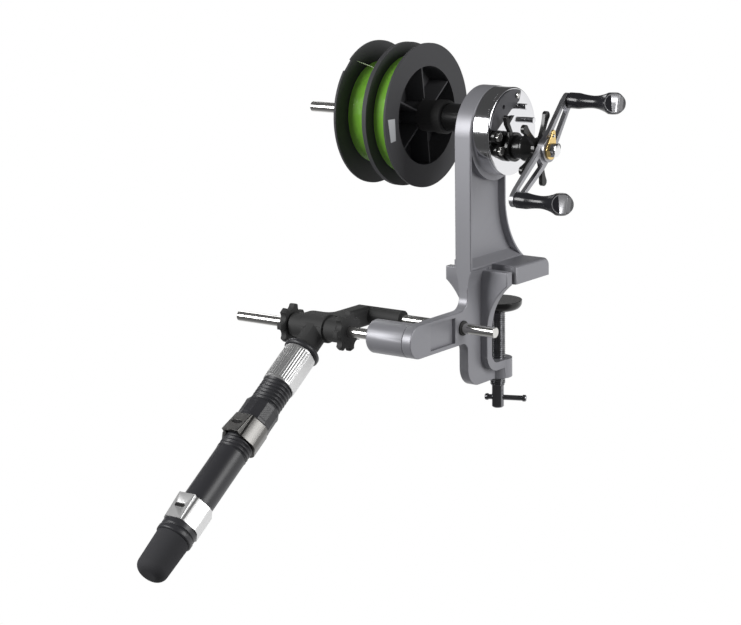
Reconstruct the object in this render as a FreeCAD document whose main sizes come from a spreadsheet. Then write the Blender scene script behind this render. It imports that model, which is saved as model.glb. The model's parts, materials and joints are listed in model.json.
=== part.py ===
"""Fishing line winder with a table clamp, a geared crank, two line spools and a reel holder.

Row frame, millimetres: X runs along the spool spindle towards the crank, +Y runs over the table,
+Z is up. The origin is on the clamp screw's axis, on the underside of the fixed jaw.
"""
import FreeCAD
import Part
import Sketcher
import math
import os
from FreeCAD import Vector

doc = FreeCAD.newDocument("line_winder")
sheet = doc.addObject("Spreadsheet::Sheet", "sizes")
nodes = []


class Size:
    """A value with the text that binds it to the sheet's cells."""

    def __init__(self, value, text):
        self.value = float(value)
        self.text = text

    def __add__(self, other):
        other = as_size(other)
        return Size(self.value + other.value, f"({self.text} + {other.text})")

    def __sub__(self, other):
        other = as_size(other)
        return Size(self.value - other.value, f"({self.text} - {other.text})")

    def __mul__(self, other):
        other = as_size(other)
        return Size(self.value * other.value, f"({self.text} * {other.text})")

    def __truediv__(self, other):
        other = as_size(other)
        return Size(self.value / other.value, f"({self.text} / {other.text})")

    def __rtruediv__(self, other):
        return as_size(other) / self

    def __neg__(self):
        return Size(-self.value, f"(0 - {self.text})")

    def __radd__(self, other):
        return as_size(other) + self

    def __rsub__(self, other):
        return as_size(other) - self

    def __rmul__(self, other):
        return as_size(other) * self


def as_size(number):
    """A plain number as a Size, and a Size as it is."""
    if isinstance(number, Size):
        return number
    return Size(number, repr(float(number)))


def sine(angle):
    """The sine of an angle in degrees."""
    return Size(math.sin(math.radians(angle.value)), f"sin({angle.text} * 1 deg)")


def cosine(angle):
    """The cosine of an angle in degrees."""
    return Size(math.cos(math.radians(angle.value)), f"cos({angle.text} * 1 deg)")


def root(square):
    """The square root of a Size."""
    return Size(math.sqrt(square.value), f"sqrt({square.text})")


def size(alias, value):
    """Put one driving dimension in the sheet."""
    size.row += 1
    sheet.set(f"A{size.row}", alias)
    sheet.set(f"B{size.row}", str(value))
    sheet.setAlias(f"B{size.row}", alias)
    return Size(value, f"sizes.{alias}")


size.row = 0

# Fits
running_gap = size("running_gap", 0.05)
face_gap = size("face_gap", 0.3)

# Frame casting: the post and its round head
front_reach = size("front_reach", 46.5)
post_thickness = size("post_thickness", 14)
post_waist = size("post_waist", 47.8)
head_radius = size("head_radius", 35)
head_height = size("head_height", 113.2)
head_drop = size("head_drop", 2.2)
flare_radius = size("flare_radius", 60)
flare_height = size("flare_height", 62)
rim_wall = size("rim_wall", 2)
web_recess = size("web_recess", 5.5)
ledge_height = size("ledge_height", 12.6)
ledge_lip = size("ledge_lip", 2)
edge_round = size("edge_round", 0.8)
spindle_rise = size("spindle_rise", 6.8)
nose_radius = size("nose_radius", 10.5)
nose_length = size("nose_length", 28.4)
spindle_bore_radius = size("spindle_bore_radius", 6)

# Frame casting: the clamp
jaw_width = size("jaw_width", 56)
jaw_thickness = size("jaw_thickness", 13.8)
jaw_front = size("jaw_front", 17.9)
jaw_rear = size("jaw_rear", 29.5)
jaw_end_round = size("jaw_end_round", 7)
jaw_side_round = size("jaw_side_round", 2.2)
back_front = size("back_front", 29.2)
back_thickness = size("back_thickness", 6.6)
gusset_width = size("gusset_width", 54.6)
gusset_height = size("gusset_height", 10.6)
ear_low = size("ear_low", 0.5)
back_half_width = size("back_half_width", 9.7)
gusset_curve_depth = size("gusset_curve_depth", 36)
throat_depth = size("throat_depth", 62)
floor_thickness = size("floor_thickness", 6)
floor_round = size("floor_round", 8)
spine_thickness = size("spine_thickness", 8)
spine_corner = size("spine_corner", 15)
neck_drop = size("neck_drop", 1.5)
clamp_boss_radius = size("clamp_boss_radius", 11)
clamp_boss_height = size("clamp_boss_height", 14.5)

# Frame casting: the arm that carries the front rod
rod_drop = size("rod_drop", 29)
front_rod_reach = size("front_rod_reach", 108)
rod_spacing = size("rod_spacing", 55)
arm_radius = size("arm_radius", 12.5)
arm_root_round = size("arm_root_round", 9)
arm_boss_length = size("arm_boss_length", 32.5)
arm_boss_round = size("arm_boss_round", 2)
arm_pocket_length = size("arm_pocket_length", 32)
arm_pocket_height = size("arm_pocket_height", 19)
arm_pocket_depth = size("arm_pocket_depth", 2.6)
arm_pocket_offset = size("arm_pocket_offset", 16.5)

# Rods and their bush
rod_radius = size("rod_radius", 4)
front_rod_left = size("front_rod_left", 163.5)
front_rod_seat = size("front_rod_seat", 30)
rear_rod_left = size("rear_rod_left", 82)
rear_rod_right = size("rear_rod_right", 33)
rod_bush_radius = size("rod_bush_radius", 5.6)
rod_bush_proud = size("rod_bush_proud", 1.2)

# Bearings and bushes
bearing_radius = size("bearing_radius", 8)
bearing_width = size("bearing_width", 5)
bush_radius = size("bush_radius", 5)
bush_length = size("bush_length", 5)

# Gearbox
drum_radius = size("drum_radius", 32.5)
drum_depth = size("drum_depth", 11.2)
drum_wall = size("drum_wall", 3)
plate_thickness = size("plate_thickness", 2.5)
plate_bevel = size("plate_bevel", 0.8)
gear_module = size("gear_module", 0.95)
main_gear_teeth = size("main_gear_teeth", 30)
pinion_teeth = size("pinion_teeth", 10)
pressure_angle = size("pressure_angle", 25)
addendum = size("addendum", 0.8)
dedendum = size("dedendum", 1.1)
backlash = size("backlash", 0.15)
gear_lean = size("gear_lean", 29)
gear_inset = size("gear_inset", 2.5)
gear_width = size("gear_width", 6)
cover_thickness = size("cover_thickness", 1.5)
cover_corner = size("cover_corner", 1.6)
cover_outer_radius = size("cover_outer_radius", 31)
cover_low_angle = size("cover_low_angle", 172)
cover_low_inner = size("cover_low_inner", 22.6)
cover_middle_angle = size("cover_middle_angle", 104)
cover_middle_inner = size("cover_middle_inner", 16.4)
cover_high_angle = size("cover_high_angle", 71)
cover_high_inner = size("cover_high_inner", 23)
cover_screw_circle = size("cover_screw_circle", 26.4)
cover_screw_angle = size("cover_screw_angle", 80)
cover_slot_circle = size("cover_slot_circle", 23.7)
cover_slot_angle = size("cover_slot_angle", 125)
cover_slot_radius = size("cover_slot_radius", 1.5)
screw_head_radius = size("screw_head_radius", 2.3)
screw_head_height = size("screw_head_height", 1.3)
stud_radius = size("stud_radius", 2.2)
stud_length = size("stud_length", 7.5)
stud_circle = size("stud_circle", 19.5)
upper_stud_angle = size("upper_stud_angle", 64.5)
lower_stud_angle = size("lower_stud_angle", 19)

# Drive sleeve, its flange and the clutch lever
sleeve_radius = size("sleeve_radius", 8.5)
sleeve_bore_radius = size("sleeve_bore_radius", 5.5)
sleeve_length = size("sleeve_length", 16.3)
flange_thickness = size("flange_thickness", 3.6)
flange_radius = size("flange_radius", 11)
ear_radius = size("ear_radius", 4.6)
upper_ear_angle = size("upper_ear_angle", 151)
upper_ear_reach = size("upper_ear_reach", 18.5)
lower_ear_angle = size("lower_ear_angle", 186)
lower_ear_reach = size("lower_ear_reach", 13.6)
ear_bolt_width = size("ear_bolt_width", 6)
ear_bolt_height = size("ear_bolt_height", 2.6)
ear_bolt_radius = size("ear_bolt_radius", 1.5)
lever_thickness = size("lever_thickness", 3)
lever_ring_radius = size("lever_ring_radius", 10.8)
lever_inset = size("lever_inset", 6.4)
lever_width = size("lever_width", 3.4)
lever_lift = size("lever_lift", 23.5)
lever_sway = size("lever_sway", 2.2)
lever_offset = size("lever_offset", 8.4)

# Spindle
spindle_radius = size("spindle_radius", 4)
spindle_left = size("spindle_left", 163.6)
groove_width = size("groove_width", 1.2)
groove_depth = size("groove_depth", 0.3)
pinion_seat_radius = size("pinion_seat_radius", 2.5)
spindle_tail = size("spindle_tail", 1.5)
collar_radius = size("collar_radius", 12.7)
collar_length = size("collar_length", 22)
collar_step = size("collar_step", 0.8)
cone_radius = size("cone_radius", 9.5)
cone_length = size("cone_length", 14)
cone_wall = size("cone_wall", 2.2)
cone_screw_radius = size("cone_screw_radius", 2)
cone_grip = size("cone_grip", 4)

# Spools
flange_disc_radius = size("flange_disc_radius", 54.3)
flange_disc_thickness = size("flange_disc_thickness", 1.8)
spool_hub_radius = size("spool_hub_radius", 10.6)
spool_web = size("spool_web", 1.6)
spoke_thickness = size("spoke_thickness", 1.3)
spoke_count = size("spoke_count", 6)
spoke_lean = size("spoke_lean", 7.5)
spoke_inset = size("spoke_inset", 1.2)
hub_inset = size("hub_inset", 2.6)
right_spool_width = size("right_spool_width", 19.6)
left_spool_width = size("left_spool_width", 27.8)
right_opening_radius = size("right_opening_radius", 37.1)
left_opening_radius = size("left_opening_radius", 33.5)
barrel_wall = size("barrel_wall", 1.8)
notch_angle = size("notch_angle", 133.7)
notch_width = size("notch_width", 11)
notch_depth = size("notch_depth", 1.5)
right_line_radius = size("right_line_radius", 44.2)
left_line_radius = size("left_line_radius", 38.3)
line_turn_radius = size("line_turn_radius", 0.28)
line_rest = size("line_rest", 0.02)

# Crank
crank_shaft_radius = size("crank_shaft_radius", 3)
drag_cone_radius = size("drag_cone_radius", 9.8)
drag_cone_neck = size("drag_cone_neck", 6.2)
drag_cone_length = size("drag_cone_length", 10.5)
star_thickness = size("star_thickness", 3)
star_hub_radius = size("star_hub_radius", 8.6)
star_reach = size("star_reach", 28.5)
star_first_angle = size("star_first_angle", 67)
petal_count = size("petal_count", 5)
petal_tip_radius = size("petal_tip_radius", 3.3)
petal_neck = size("petal_neck", 3.4)
petal_hollow = size("petal_hollow", 0.8)
crank_gap = size("crank_gap", 2.4)
crank_hub_length = size("crank_hub_length", 5.8)
crank_reach = size("crank_reach", 48)
crank_angle = size("crank_angle", 41.5)
crank_hub_radius = size("crank_hub_radius", 9)
crank_waist = size("crank_waist", 8.4)
crank_thickness = size("crank_thickness", 3.6)
crank_bow = size("crank_bow", 5.5)
crank_end_radius = size("crank_end_radius", 5.4)
crank_rib = size("crank_rib", 2.4)
retainer_thickness = size("retainer_thickness", 1.5)
retainer_radius = size("retainer_radius", 7)
retainer_tip = size("retainer_tip", 12.6)
retainer_angle = size("retainer_angle", 76)
retainer_nose = size("retainer_nose", 2.2)
retainer_screw_radius = size("retainer_screw_radius", 1.4)
nut_width = size("nut_width", 9.5)
nut_height = size("nut_height", 5)
nut_cap = size("nut_cap", 1.2)

# Crank knobs
knob_pin_radius = size("knob_pin_radius", 2)
knob_length = size("knob_length", 44.5)
knob_base_radius = size("knob_base_radius", 5.9)
knob_waist_radius = size("knob_waist_radius", 4.6)
knob_bulb_radius = size("knob_bulb_radius", 8.2)
knob_flat = size("knob_flat", 7.6)
knob_cap_radius = size("knob_cap_radius", 5.4)
knob_cap_length = size("knob_cap_length", 2.2)
knob_end_wall = size("knob_end_wall", 2)

# Clamp screw, pad and bar
screw_radius = size("screw_radius", 5.9)
shank_radius = size("shank_radius", 4.6)
pad_radius = size("pad_radius", 18.5)
pad_thickness = size("pad_thickness", 7.2)
pad_gap = size("pad_gap", 17.3)
pad_socket_depth = size("pad_socket_depth", 4)
screw_end = size("screw_end", 101)
shank_start = size("shank_start", 84)
bar_height = size("bar_height", 93.4)
bar_radius = size("bar_radius", 2)
bar_length = size("bar_length", 32)
bar_offset = size("bar_offset", 6)
bar_angle = size("bar_angle", 22)
bar_end_swell = size("bar_end_swell", 1.3)

# Sliding bracket
seat_place = size("seat_place", 87.5)
knuckle_width = size("knuckle_width", 20)
knuckle_radius = size("knuckle_radius", 10.75)
eye_width = size("eye_width", 11.5)
eye_radius = size("eye_radius", 9.3)
yoke_gap = size("yoke_gap", 1)
yoke_depth = size("yoke_depth", 8)
yoke_height = size("yoke_height", 15)
yoke_round = size("yoke_round", 2.5)
link_width = size("link_width", 13)
rod_boss_radius = size("rod_boss_radius", 6.8)
rod_boss_right = size("rod_boss_right", 50)
rod_boss_left = size("rod_boss_left", 91.5)
star_knob_radius = size("star_knob_radius", 15)
star_knob_hub = size("star_knob_hub", 8)
star_knob_hub_length = size("star_knob_hub_length", 1.35)
star_knob_thickness = size("star_knob_thickness", 5)
star_knob_lobes = size("star_knob_lobes", 7)
scallop_radius = size("scallop_radius", 4.6)

# Reel seat
seat_angle = size("seat_angle", 34.7)
collar_start = size("collar_start", 24)
sleeve_start = size("sleeve_start", 28.3)
thread_start = size("thread_start", 61.4)
seat_nut_start = size("seat_nut_start", 83)
hood_start = size("hood_start", 99.9)
hood_end = size("hood_end", 118.4)
thread_end = size("thread_end", 128.2)
fixed_hood_start = size("fixed_hood_start", 177.5)
fixed_hood_length = size("fixed_hood_length", 20.6)
hood_ring_length = size("hood_ring_length", 9.9)
hood_ring_radius = size("hood_ring_radius", 13)
butt_length = size("butt_length", 33)
seat_tube_radius = size("seat_tube_radius", 12)
seat_core_radius = size("seat_core_radius", 9.5)
seat_bore_radius = size("seat_bore_radius", 7.5)
thread_proud = size("thread_proud", 0.3)
seat_collar_radius = size("seat_collar_radius", 14)
knurl_radius = size("knurl_radius", 12.75)
knurl_flat = size("knurl_flat", 12)
seat_nut_radius = size("seat_nut_radius", 13.2)
hood_radius = size("hood_radius", 14.4)
hood_flat = size("hood_flat", 13.4)
hood_slot_width = size("hood_slot_width", 11)
hood_crest_width = size("hood_crest_width", 14.6)
hood_crest_wall = size("hood_crest_wall", 1.8)
movable_hood_top = size("movable_hood_top", 16.5)
fixed_hood_top = size("fixed_hood_top", 14.9)
hood_pocket = size("hood_pocket", 0.7)
hood_mark_depth = size("hood_mark_depth", 0.3)
hood_mark_length = size("hood_mark_length", 9)
hood_mark_width = size("hood_mark_width", 3.2)
butt_radius = size("butt_radius", 12.7)
butt_end_radius = size("butt_end_radius", 11.9)
butt_round = size("butt_round", 7)
butt_wall = size("butt_wall", 6)

# Places that follow from the sizes
post_face = post_thickness / 2
post_front = -front_reach
post_rear = post_waist - front_reach
head_y = head_radius - front_reach
head_z = head_height - head_drop
spindle_y = head_y
spindle_z = head_height + spindle_rise
gear_distance = (main_gear_teeth + pinion_teeth) * gear_module / 2
crank_y = spindle_y - gear_distance * sine(gear_lean)
crank_z = spindle_z - gear_distance * cosine(gear_lean)
plate_back = post_face + drum_depth
plate_front = plate_back + plate_thickness
gear_start = post_face + gear_inset
front_rod_y = -front_rod_reach
rear_rod_y = rod_spacing - front_rod_reach
rod_z = -rod_drop
spine_face = spine_thickness / 2
back_y = -back_front
back_rear = back_thickness - back_front
spine_foot = -throat_depth - clamp_boss_height
floor_under = -throat_depth - floor_thickness
nose_end = -post_face - nose_length
collar_right = nose_end - face_gap
collar_left = collar_right - collar_length
right_spool_end = collar_left + hub_inset
right_spool_start = right_spool_end - right_spool_width
left_spool_start = right_spool_start - left_spool_width
sleeve_end = plate_front + sleeve_length
cone_start = sleeve_end + face_gap
star_start = cone_start + drag_cone_length
crank_back = star_start + star_thickness + crank_gap
crank_front = crank_back + crank_hub_length
crank_end_front = crank_front - crank_bow
crank_end_back = crank_end_front - crank_thickness
retainer_front = crank_front + retainer_thickness
nut_front = retainer_front + nut_height
knob_start = crank_end_front + face_gap
pad_top = -pad_gap
pad_bottom = pad_top - pad_thickness
screw_top = pad_bottom + pad_socket_depth - face_gap
knuckle_right = knuckle_width / 2 - seat_place
knuckle_left = -knuckle_width / 2 - seat_place
right_eye_start = knuckle_right + face_gap
right_eye_end = right_eye_start + eye_width
left_eye_end = knuckle_left - face_gap
left_eye_start = left_eye_end - eye_width
fixed_hood_end = fixed_hood_start + fixed_hood_length
ring_end = fixed_hood_end + hood_ring_length
butt_end = ring_end + butt_length

# Directions: text that turns a piece's own axes to the row's
STRAIGHT = "create(<<rotation>>; create(<<vector>>; 0; 0; 1); 0)"
FACING_X = "create(<<rotation>>; create(<<vector>>; 1; 1; 1); 120)"
FACING_FRONT = "create(<<rotation>>; create(<<vector>>; 1; 0; 0); 90)"
RISING = "create(<<rotation>>; create(<<vector>>; 0; 1; 0); -90)"


def turned_about_x(angle, direction):
    """A direction that is turned by an angle about the row's X."""
    angle = as_size(angle)
    return f"create(<<rotation>>; create(<<vector>>; 1; 0; 0); {angle.text}) * {direction}"


def turned_about_z(angle, direction):
    """A direction that is turned by an angle about the row's Z."""
    angle = as_size(angle)
    return f"create(<<rotation>>; create(<<vector>>; 0; 0; 1); {angle.text}) * {direction}"


QUARTER_BACK = "create(<<rotation>>; create(<<vector>>; 0; 0; 1); -90)"
ALONG_SEAT = turned_about_x(seat_angle, QUARTER_BACK)
FACING_SEAT = turned_about_x(seat_angle + 90, STRAIGHT)
BESIDE_SEAT = turned_about_x(seat_angle, "create(<<rotation>>; create(<<vector>>; 1; -1; -1); 120)")


def place(piece, direction, x, y, z):
    """Bind where a piece lies and which way it points."""
    spot = f"create(<<vector>>; {as_size(x).text}; {as_size(y).text}; {as_size(z).text})"
    piece.setExpression("Placement", f"create(<<placement>>; {spot}; {direction})")
    return piece


def along_seat(distance):
    """The point at a distance down the reel seat's axis."""
    distance = as_size(distance)
    drop_y = front_rod_y - distance * cosine(seat_angle)
    drop_z = rod_z - distance * sine(seat_angle)
    return -seat_place, drop_y, drop_z


def cylinder(name, radius, length, direction, x, y, z):
    piece = doc.addObject("Part::Cylinder", name)
    piece.setExpression("Radius", as_size(radius).text)
    piece.setExpression("Height", as_size(length).text)
    return place(piece, direction, x, y, z)


def box(name, x_size, y_size, z_size, x, y, z, direction=STRAIGHT):
    piece = doc.addObject("Part::Box", name)
    piece.setExpression("Length", as_size(x_size).text)
    piece.setExpression("Width", as_size(y_size).text)
    piece.setExpression("Height", as_size(z_size).text)
    return place(piece, direction, x, y, z)


def prism(name, sides, flat_radius, length, direction, x, y, z):
    """A regular prism, by the distance from its axis to its flats."""
    piece = doc.addObject("Part::Prism", name)
    piece.Polygon = sides
    corner = as_size(flat_radius) / math.cos(math.pi / sides)
    piece.setExpression("Circumradius", corner.text)
    piece.setExpression("Height", as_size(length).text)
    return place(piece, direction, x, y, z)


def fuse(name, pieces):
    joined = doc.addObject("Part::MultiFuse", name)
    joined.Shapes = pieces
    return joined


def cut(name, base, tools):
    """Take one or more tools out of a piece."""
    tool = tools[0] if len(tools) == 1 else fuse(name + "_tools", tools)
    left = doc.addObject("Part::Cut", name)
    left.Base = base
    left.Tool = tool
    return left


def common(name, pieces):
    shared = doc.addObject("Part::MultiCommon", name)
    shared.Shapes = pieces
    return shared


def group(name, pieces):
    together = doc.addObject("Part::Compound", name)
    together.Links = pieces
    return together


def node(name, piece):
    """Keep a finished piece under its own name."""
    piece.Label = name
    nodes.append((name, piece))
    return piece


def arc_centre(start, end, radius, side):
    """The centre of the shorter arc between two points, left or right of the way."""
    half = (end - start) / 2
    rise = math.sqrt(max(radius**2 - half.Length**2, 0))
    across = Vector(-half.y, half.x, 0).normalize()
    return start + half + across * (-rise if side == "right" else rise)


def hold_centre(sketch, edge, start, end):
    """Keep a half circle's centre midway between its ends."""
    lies_flat = abs((end[0] - start[0]).value) > abs((end[1] - start[1]).value)
    kind, axis = ("DistanceY", 1) if lies_flat else ("DistanceX", 0)
    middle = (start[axis] + end[axis]) / 2
    bound = sketch.addConstraint(Sketcher.Constraint(kind, -1, 1, edge, 3, middle.value))
    sketch.setExpression(f"Constraints[{bound}]", middle.text)


def draw_outline(sketch, outline):
    """Draw one closed outline, each corner and each arc's radius bound to the sheet."""
    corners = [(as_size(entry[0]), as_size(entry[1])) for entry in outline]
    points = [Vector(x.value, y.value, 0) for x, y in corners]
    ends = []
    for index, entry in enumerate(outline):
        start = points[index - 1]
        end = points[index]
        if len(entry) == 2:
            edge = sketch.addGeometry(Part.LineSegment(start, end), False)
            ends.append((edge, 1, 2))
            continue
        radius = as_size(entry[2])
        centre = arc_centre(start, end, radius.value, entry[3])
        circle = Part.Circle(centre, Vector(0, 0, 1), radius.value)
        first, last = (end, start) if entry[3] == "right" else (start, end)
        first_angle = math.atan2(first.y - centre.y, first.x - centre.x)
        last_angle = math.atan2(last.y - centre.y, last.x - centre.x)
        if last_angle <= first_angle:
            last_angle += 2 * math.pi
        edge = sketch.addGeometry(Part.ArcOfCircle(circle, first_angle, last_angle), False)
        if entry[3] == "half":
            hold_centre(sketch, edge, corners[index - 1], corners[index])
        else:
            bound = sketch.addConstraint(Sketcher.Constraint("Radius", edge, radius.value))
            sketch.setExpression(f"Constraints[{bound}]", radius.text)
        ends.append((edge, 2, 1) if entry[3] == "right" else (edge, 1, 2))
    for index, (edge, start_mark, end_mark) in enumerate(ends):
        next_edge, next_start, _ = ends[(index + 1) % len(ends)]
        sketch.addConstraint(Sketcher.Constraint("Coincident", edge, end_mark, next_edge, next_start))
        for kind, value in zip(("DistanceX", "DistanceY"), corners[index]):
            bound = sketch.addConstraint(Sketcher.Constraint(kind, -1, 1, edge, end_mark, value.value))
            sketch.setExpression(f"Constraints[{bound}]", value.text)


def sketch_in(body, name, outlines, role="XY_Plane"):
    """A sketch on one of a body's own origin planes."""
    sketch = body.newObject("Sketcher::SketchObject", name)
    plane = [face for face in body.Origin.OriginFeatures if face.Role == role][0]
    sketch.AttachmentSupport = (plane, [""])
    sketch.MapMode = "FlatFace"
    for outline in outlines:
        draw_outline(sketch, outline)
    return sketch


def padded(name, outlines, thickness, direction, x, y, z):
    """A flat outline with a thickness."""
    body = doc.addObject("PartDesign::Body", name)
    sketch = sketch_in(body, name + "_outline", outlines)
    pad = body.newObject("PartDesign::Pad", name + "_pad")
    pad.Profile = sketch
    pad.setExpression("Length", as_size(thickness).text)
    return place(body, direction, x, y, z)


def turned(name, outline, direction, x, y, z):
    """An outline of distances and radii, turned about its own X axis."""
    body = doc.addObject("PartDesign::Body", name)
    sketch = sketch_in(body, name + "_outline", [outline])
    revolution = body.newObject("PartDesign::Revolution", name + "_turn")
    revolution.Profile = sketch
    revolution.ReferenceAxis = (sketch, ["H_Axis"])
    revolution.Angle = 360
    return place(body, direction, x, y, z)


def ring(name, inner, outer, length, direction, x, y, z):
    """A plain tube, such as a bush or a bearing."""
    outline = [(0, inner), (length, inner), (length, outer), (0, outer)]
    return turned(name, outline, direction, x, y, z)


def soften(body, name, radius, chosen):
    """Round the edges of a body's last feature that a test picks."""
    doc.recompute()
    tip = body.Tip
    edges = [f"Edge{k + 1}" for k, edge in enumerate(tip.Shape.Edges) if chosen(edge)]
    fillet = body.newObject("PartDesign::Fillet", name)
    fillet.Base = (tip, edges)
    fillet.setExpression("Radius", as_size(radius).text)
    body.Tip = fillet
    return body


def lies_at(axis, value):
    """A test for edges that lie wholly at one height of a body's own axis."""
    def test(edge):
        return all(abs(getattr(v.Point, axis) - value) < 1e-5 for v in edge.Vertexes)
    return test


def polar(radius, angle):
    """A point by its distance and its angle from the first axis."""
    return as_size(radius) * cosine(as_size(angle)), as_size(radius) * sine(as_size(angle))


# Frame casting
def arc_offset(radius, distance):
    """How far an arc lies from its centre line at a distance beside it."""
    return root(radius * radius - distance * distance)


def make_post():
    """The post plate with its round head, a thin rim round its web and a sloped ledge."""
    foot_y = post_rear + flare_radius - arc_offset(flare_radius, flare_height - ledge_height)
    neck_z = head_z - arc_offset(head_radius, post_rear - head_y)
    outline = [
        (post_front, ledge_height),
        (foot_y, ledge_height),
        (post_rear, flare_height, flare_radius, "right"),
        (post_rear, neck_z),
        (head_y + head_radius, head_z, head_radius, "left"),
        (head_y, head_z + head_radius, head_radius, "left"),
        (post_front, head_z, head_radius, "left"),
    ]
    plate = padded("post_plate", [outline], post_thickness, FACING_X, -post_face, 0, 0)
    soften(plate, "post_edges", edge_round, lambda edge: lies_at("z", 0)(edge)
           or lies_at("z", post_thickness.value)(edge))
    web_radius = flare_radius + rim_wall
    web_front = post_front + rim_wall
    web_rear = post_rear - rim_wall
    web_low = ledge_height + ledge_lip
    web_foot = post_rear + flare_radius - arc_offset(web_radius, flare_height - web_low)
    front_top = head_z - arc_offset(head_radius, web_front - head_y)
    rear_top = head_z - arc_offset(head_radius, web_rear - head_y)
    web_outline = [
        (web_front, web_low),
        (web_foot, web_low),
        (web_rear, flare_height, web_radius, "right"),
        (web_rear, rear_top),
        (web_front, front_top, head_radius, "right"),
    ]
    web_x = post_face - web_recess
    web = padded("web_space", [web_outline], web_recess, FACING_X, web_x, 0, 0)
    ledge_outline = [
        (web_x - 1, web_low - 1),
        (post_face + 1, web_low - 1),
        (web_x - 1, web_low + web_recess + 1),
    ]
    ledge = padded("ledge_slope", [ledge_outline], jaw_rear + front_reach, FACING_FRONT, 0, jaw_rear, 0)
    return plate, cut("web_room", web, [ledge])


def make_spine():
    """The spine behind the clamp and the arm that runs forward from it."""
    arm_top = rod_z + arm_radius
    arm_under = rod_z - arm_radius
    under_round = arm_root_round * 0.7
    outline = [
        (post_front, ledge_height),
        (post_front, arm_top + arm_root_round),
        (post_front - arm_root_round, arm_top, arm_root_round, "right"),
        (front_rod_y, arm_top),
        (front_rod_y - arm_radius, rod_z, arm_radius, "left"),
        (front_rod_y, arm_under, arm_radius, "left"),
        (post_front - under_round, arm_under),
        (post_front, arm_under - under_round, under_round, "right"),
        (post_front, spine_foot + spine_corner),
        (post_front + spine_corner, spine_foot, spine_corner, "left"),
        (0, spine_foot),
        (0, -throat_depth),
        (back_rear, -throat_depth),
        (back_rear, ledge_height),
    ]
    spine = padded("spine", [outline], spine_thickness, FACING_X, -spine_face, 0, 0)
    soften(spine, "spine_edges", edge_round, lambda edge: edge.Vertexes[0].Y < -edge_round.value
           and (lies_at("z", 0)(edge) or lies_at("z", spine_thickness.value)(edge))
           and edge.BoundBox.XMax < back_y.value)
    return spine


def make_back():
    """The back plate: wide ears under the jaw that curve in to a narrow flange."""
    half = gusset_width / 2
    sweep = half - back_half_width
    rise = gusset_curve_depth + ear_low
    radius = (sweep * sweep + rise * rise) / (2 * sweep)
    outline = [
        (-half, gusset_height),
        (-half, ear_low),
        (-back_half_width, -gusset_curve_depth, radius, "right"),
        (-back_half_width, floor_under),
        (back_half_width, floor_under),
        (back_half_width, -gusset_curve_depth),
        (half, ear_low, radius, "right"),
        (half, gusset_height),
    ]
    back = padded("back_plate", [outline], back_thickness, FACING_FRONT, 0, back_rear, 0)
    soften(back, "back_edges", edge_round, lies_at("z", back_thickness.value))
    width = back_half_width * 2
    floor_depth = back_front
    floor = box("throat_floor", width, floor_depth, floor_thickness, -back_half_width, back_y, floor_under)
    corner_outline = [
        (back_rear, -throat_depth + floor_round, floor_round, "right"),
        (back_rear - 1, -throat_depth + floor_round),
        (back_rear - 1, -throat_depth - 1),
        (back_rear + floor_round, -throat_depth - 1),
        (back_rear + floor_round, -throat_depth),
    ]
    corner = padded("throat_corner", [corner_outline], width, FACING_X, -back_half_width, 0, 0)
    outer_round = floor_round + floor_thickness
    round_outline = [
        (back_y - 1, floor_under - 1),
        (back_y + outer_round, floor_under - 1),
        (back_y + outer_round, floor_under),
        (back_y, floor_under + outer_round, outer_round, "right"),
        (back_y - 1, floor_under + outer_round),
    ]
    off_corner = padded("off_corner", [round_outline], width + 2, FACING_X, -back_half_width - 1, 0, 0)
    return [cut("back_whole", fuse("back_blank", [back, floor, corner]), [off_corner])]


def make_neck():
    """Where the post narrows to the spine, with a hollow curve on each side."""
    inset = post_face - spine_face
    drop = ledge_height + neck_drop
    radius = (inset * inset + drop * drop) / (2 * inset)
    outline = [
        (-post_face, ledge_height),
        (-spine_face, -neck_drop, radius, "right"),
        (spine_face, -neck_drop),
        (post_face, ledge_height, radius, "right"),
    ]
    depth = back_rear - post_front
    neck = padded("neck", [outline], depth, FACING_FRONT, 0, back_rear, 0)
    gap_fill = box("jaw_root", post_thickness, -back_rear - jaw_front, ledge_height, -post_face, back_rear, 0)
    return [neck, gap_fill]


def make_jaw():
    """The fixed jaw, round at its far end and along its upper sides."""
    outline = [
        (-jaw_front, 0),
        (jaw_rear, 0),
        (jaw_rear, jaw_thickness - jaw_end_round),
        (jaw_rear - jaw_end_round, jaw_thickness, jaw_end_round, "left"),
        (-jaw_front, jaw_thickness),
    ]
    jaw = padded("jaw", [outline], jaw_width, FACING_X, -jaw_width / 2, 0, 0)
    def upper_side(edge):
        at_side = lies_at("z", 0)(edge) or lies_at("z", jaw_width.value)(edge)
        return at_side and edge.BoundBox.YMax > jaw_thickness.value / 4
    return soften(jaw, "jaw_edges", jaw_side_round, upper_side)


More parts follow.
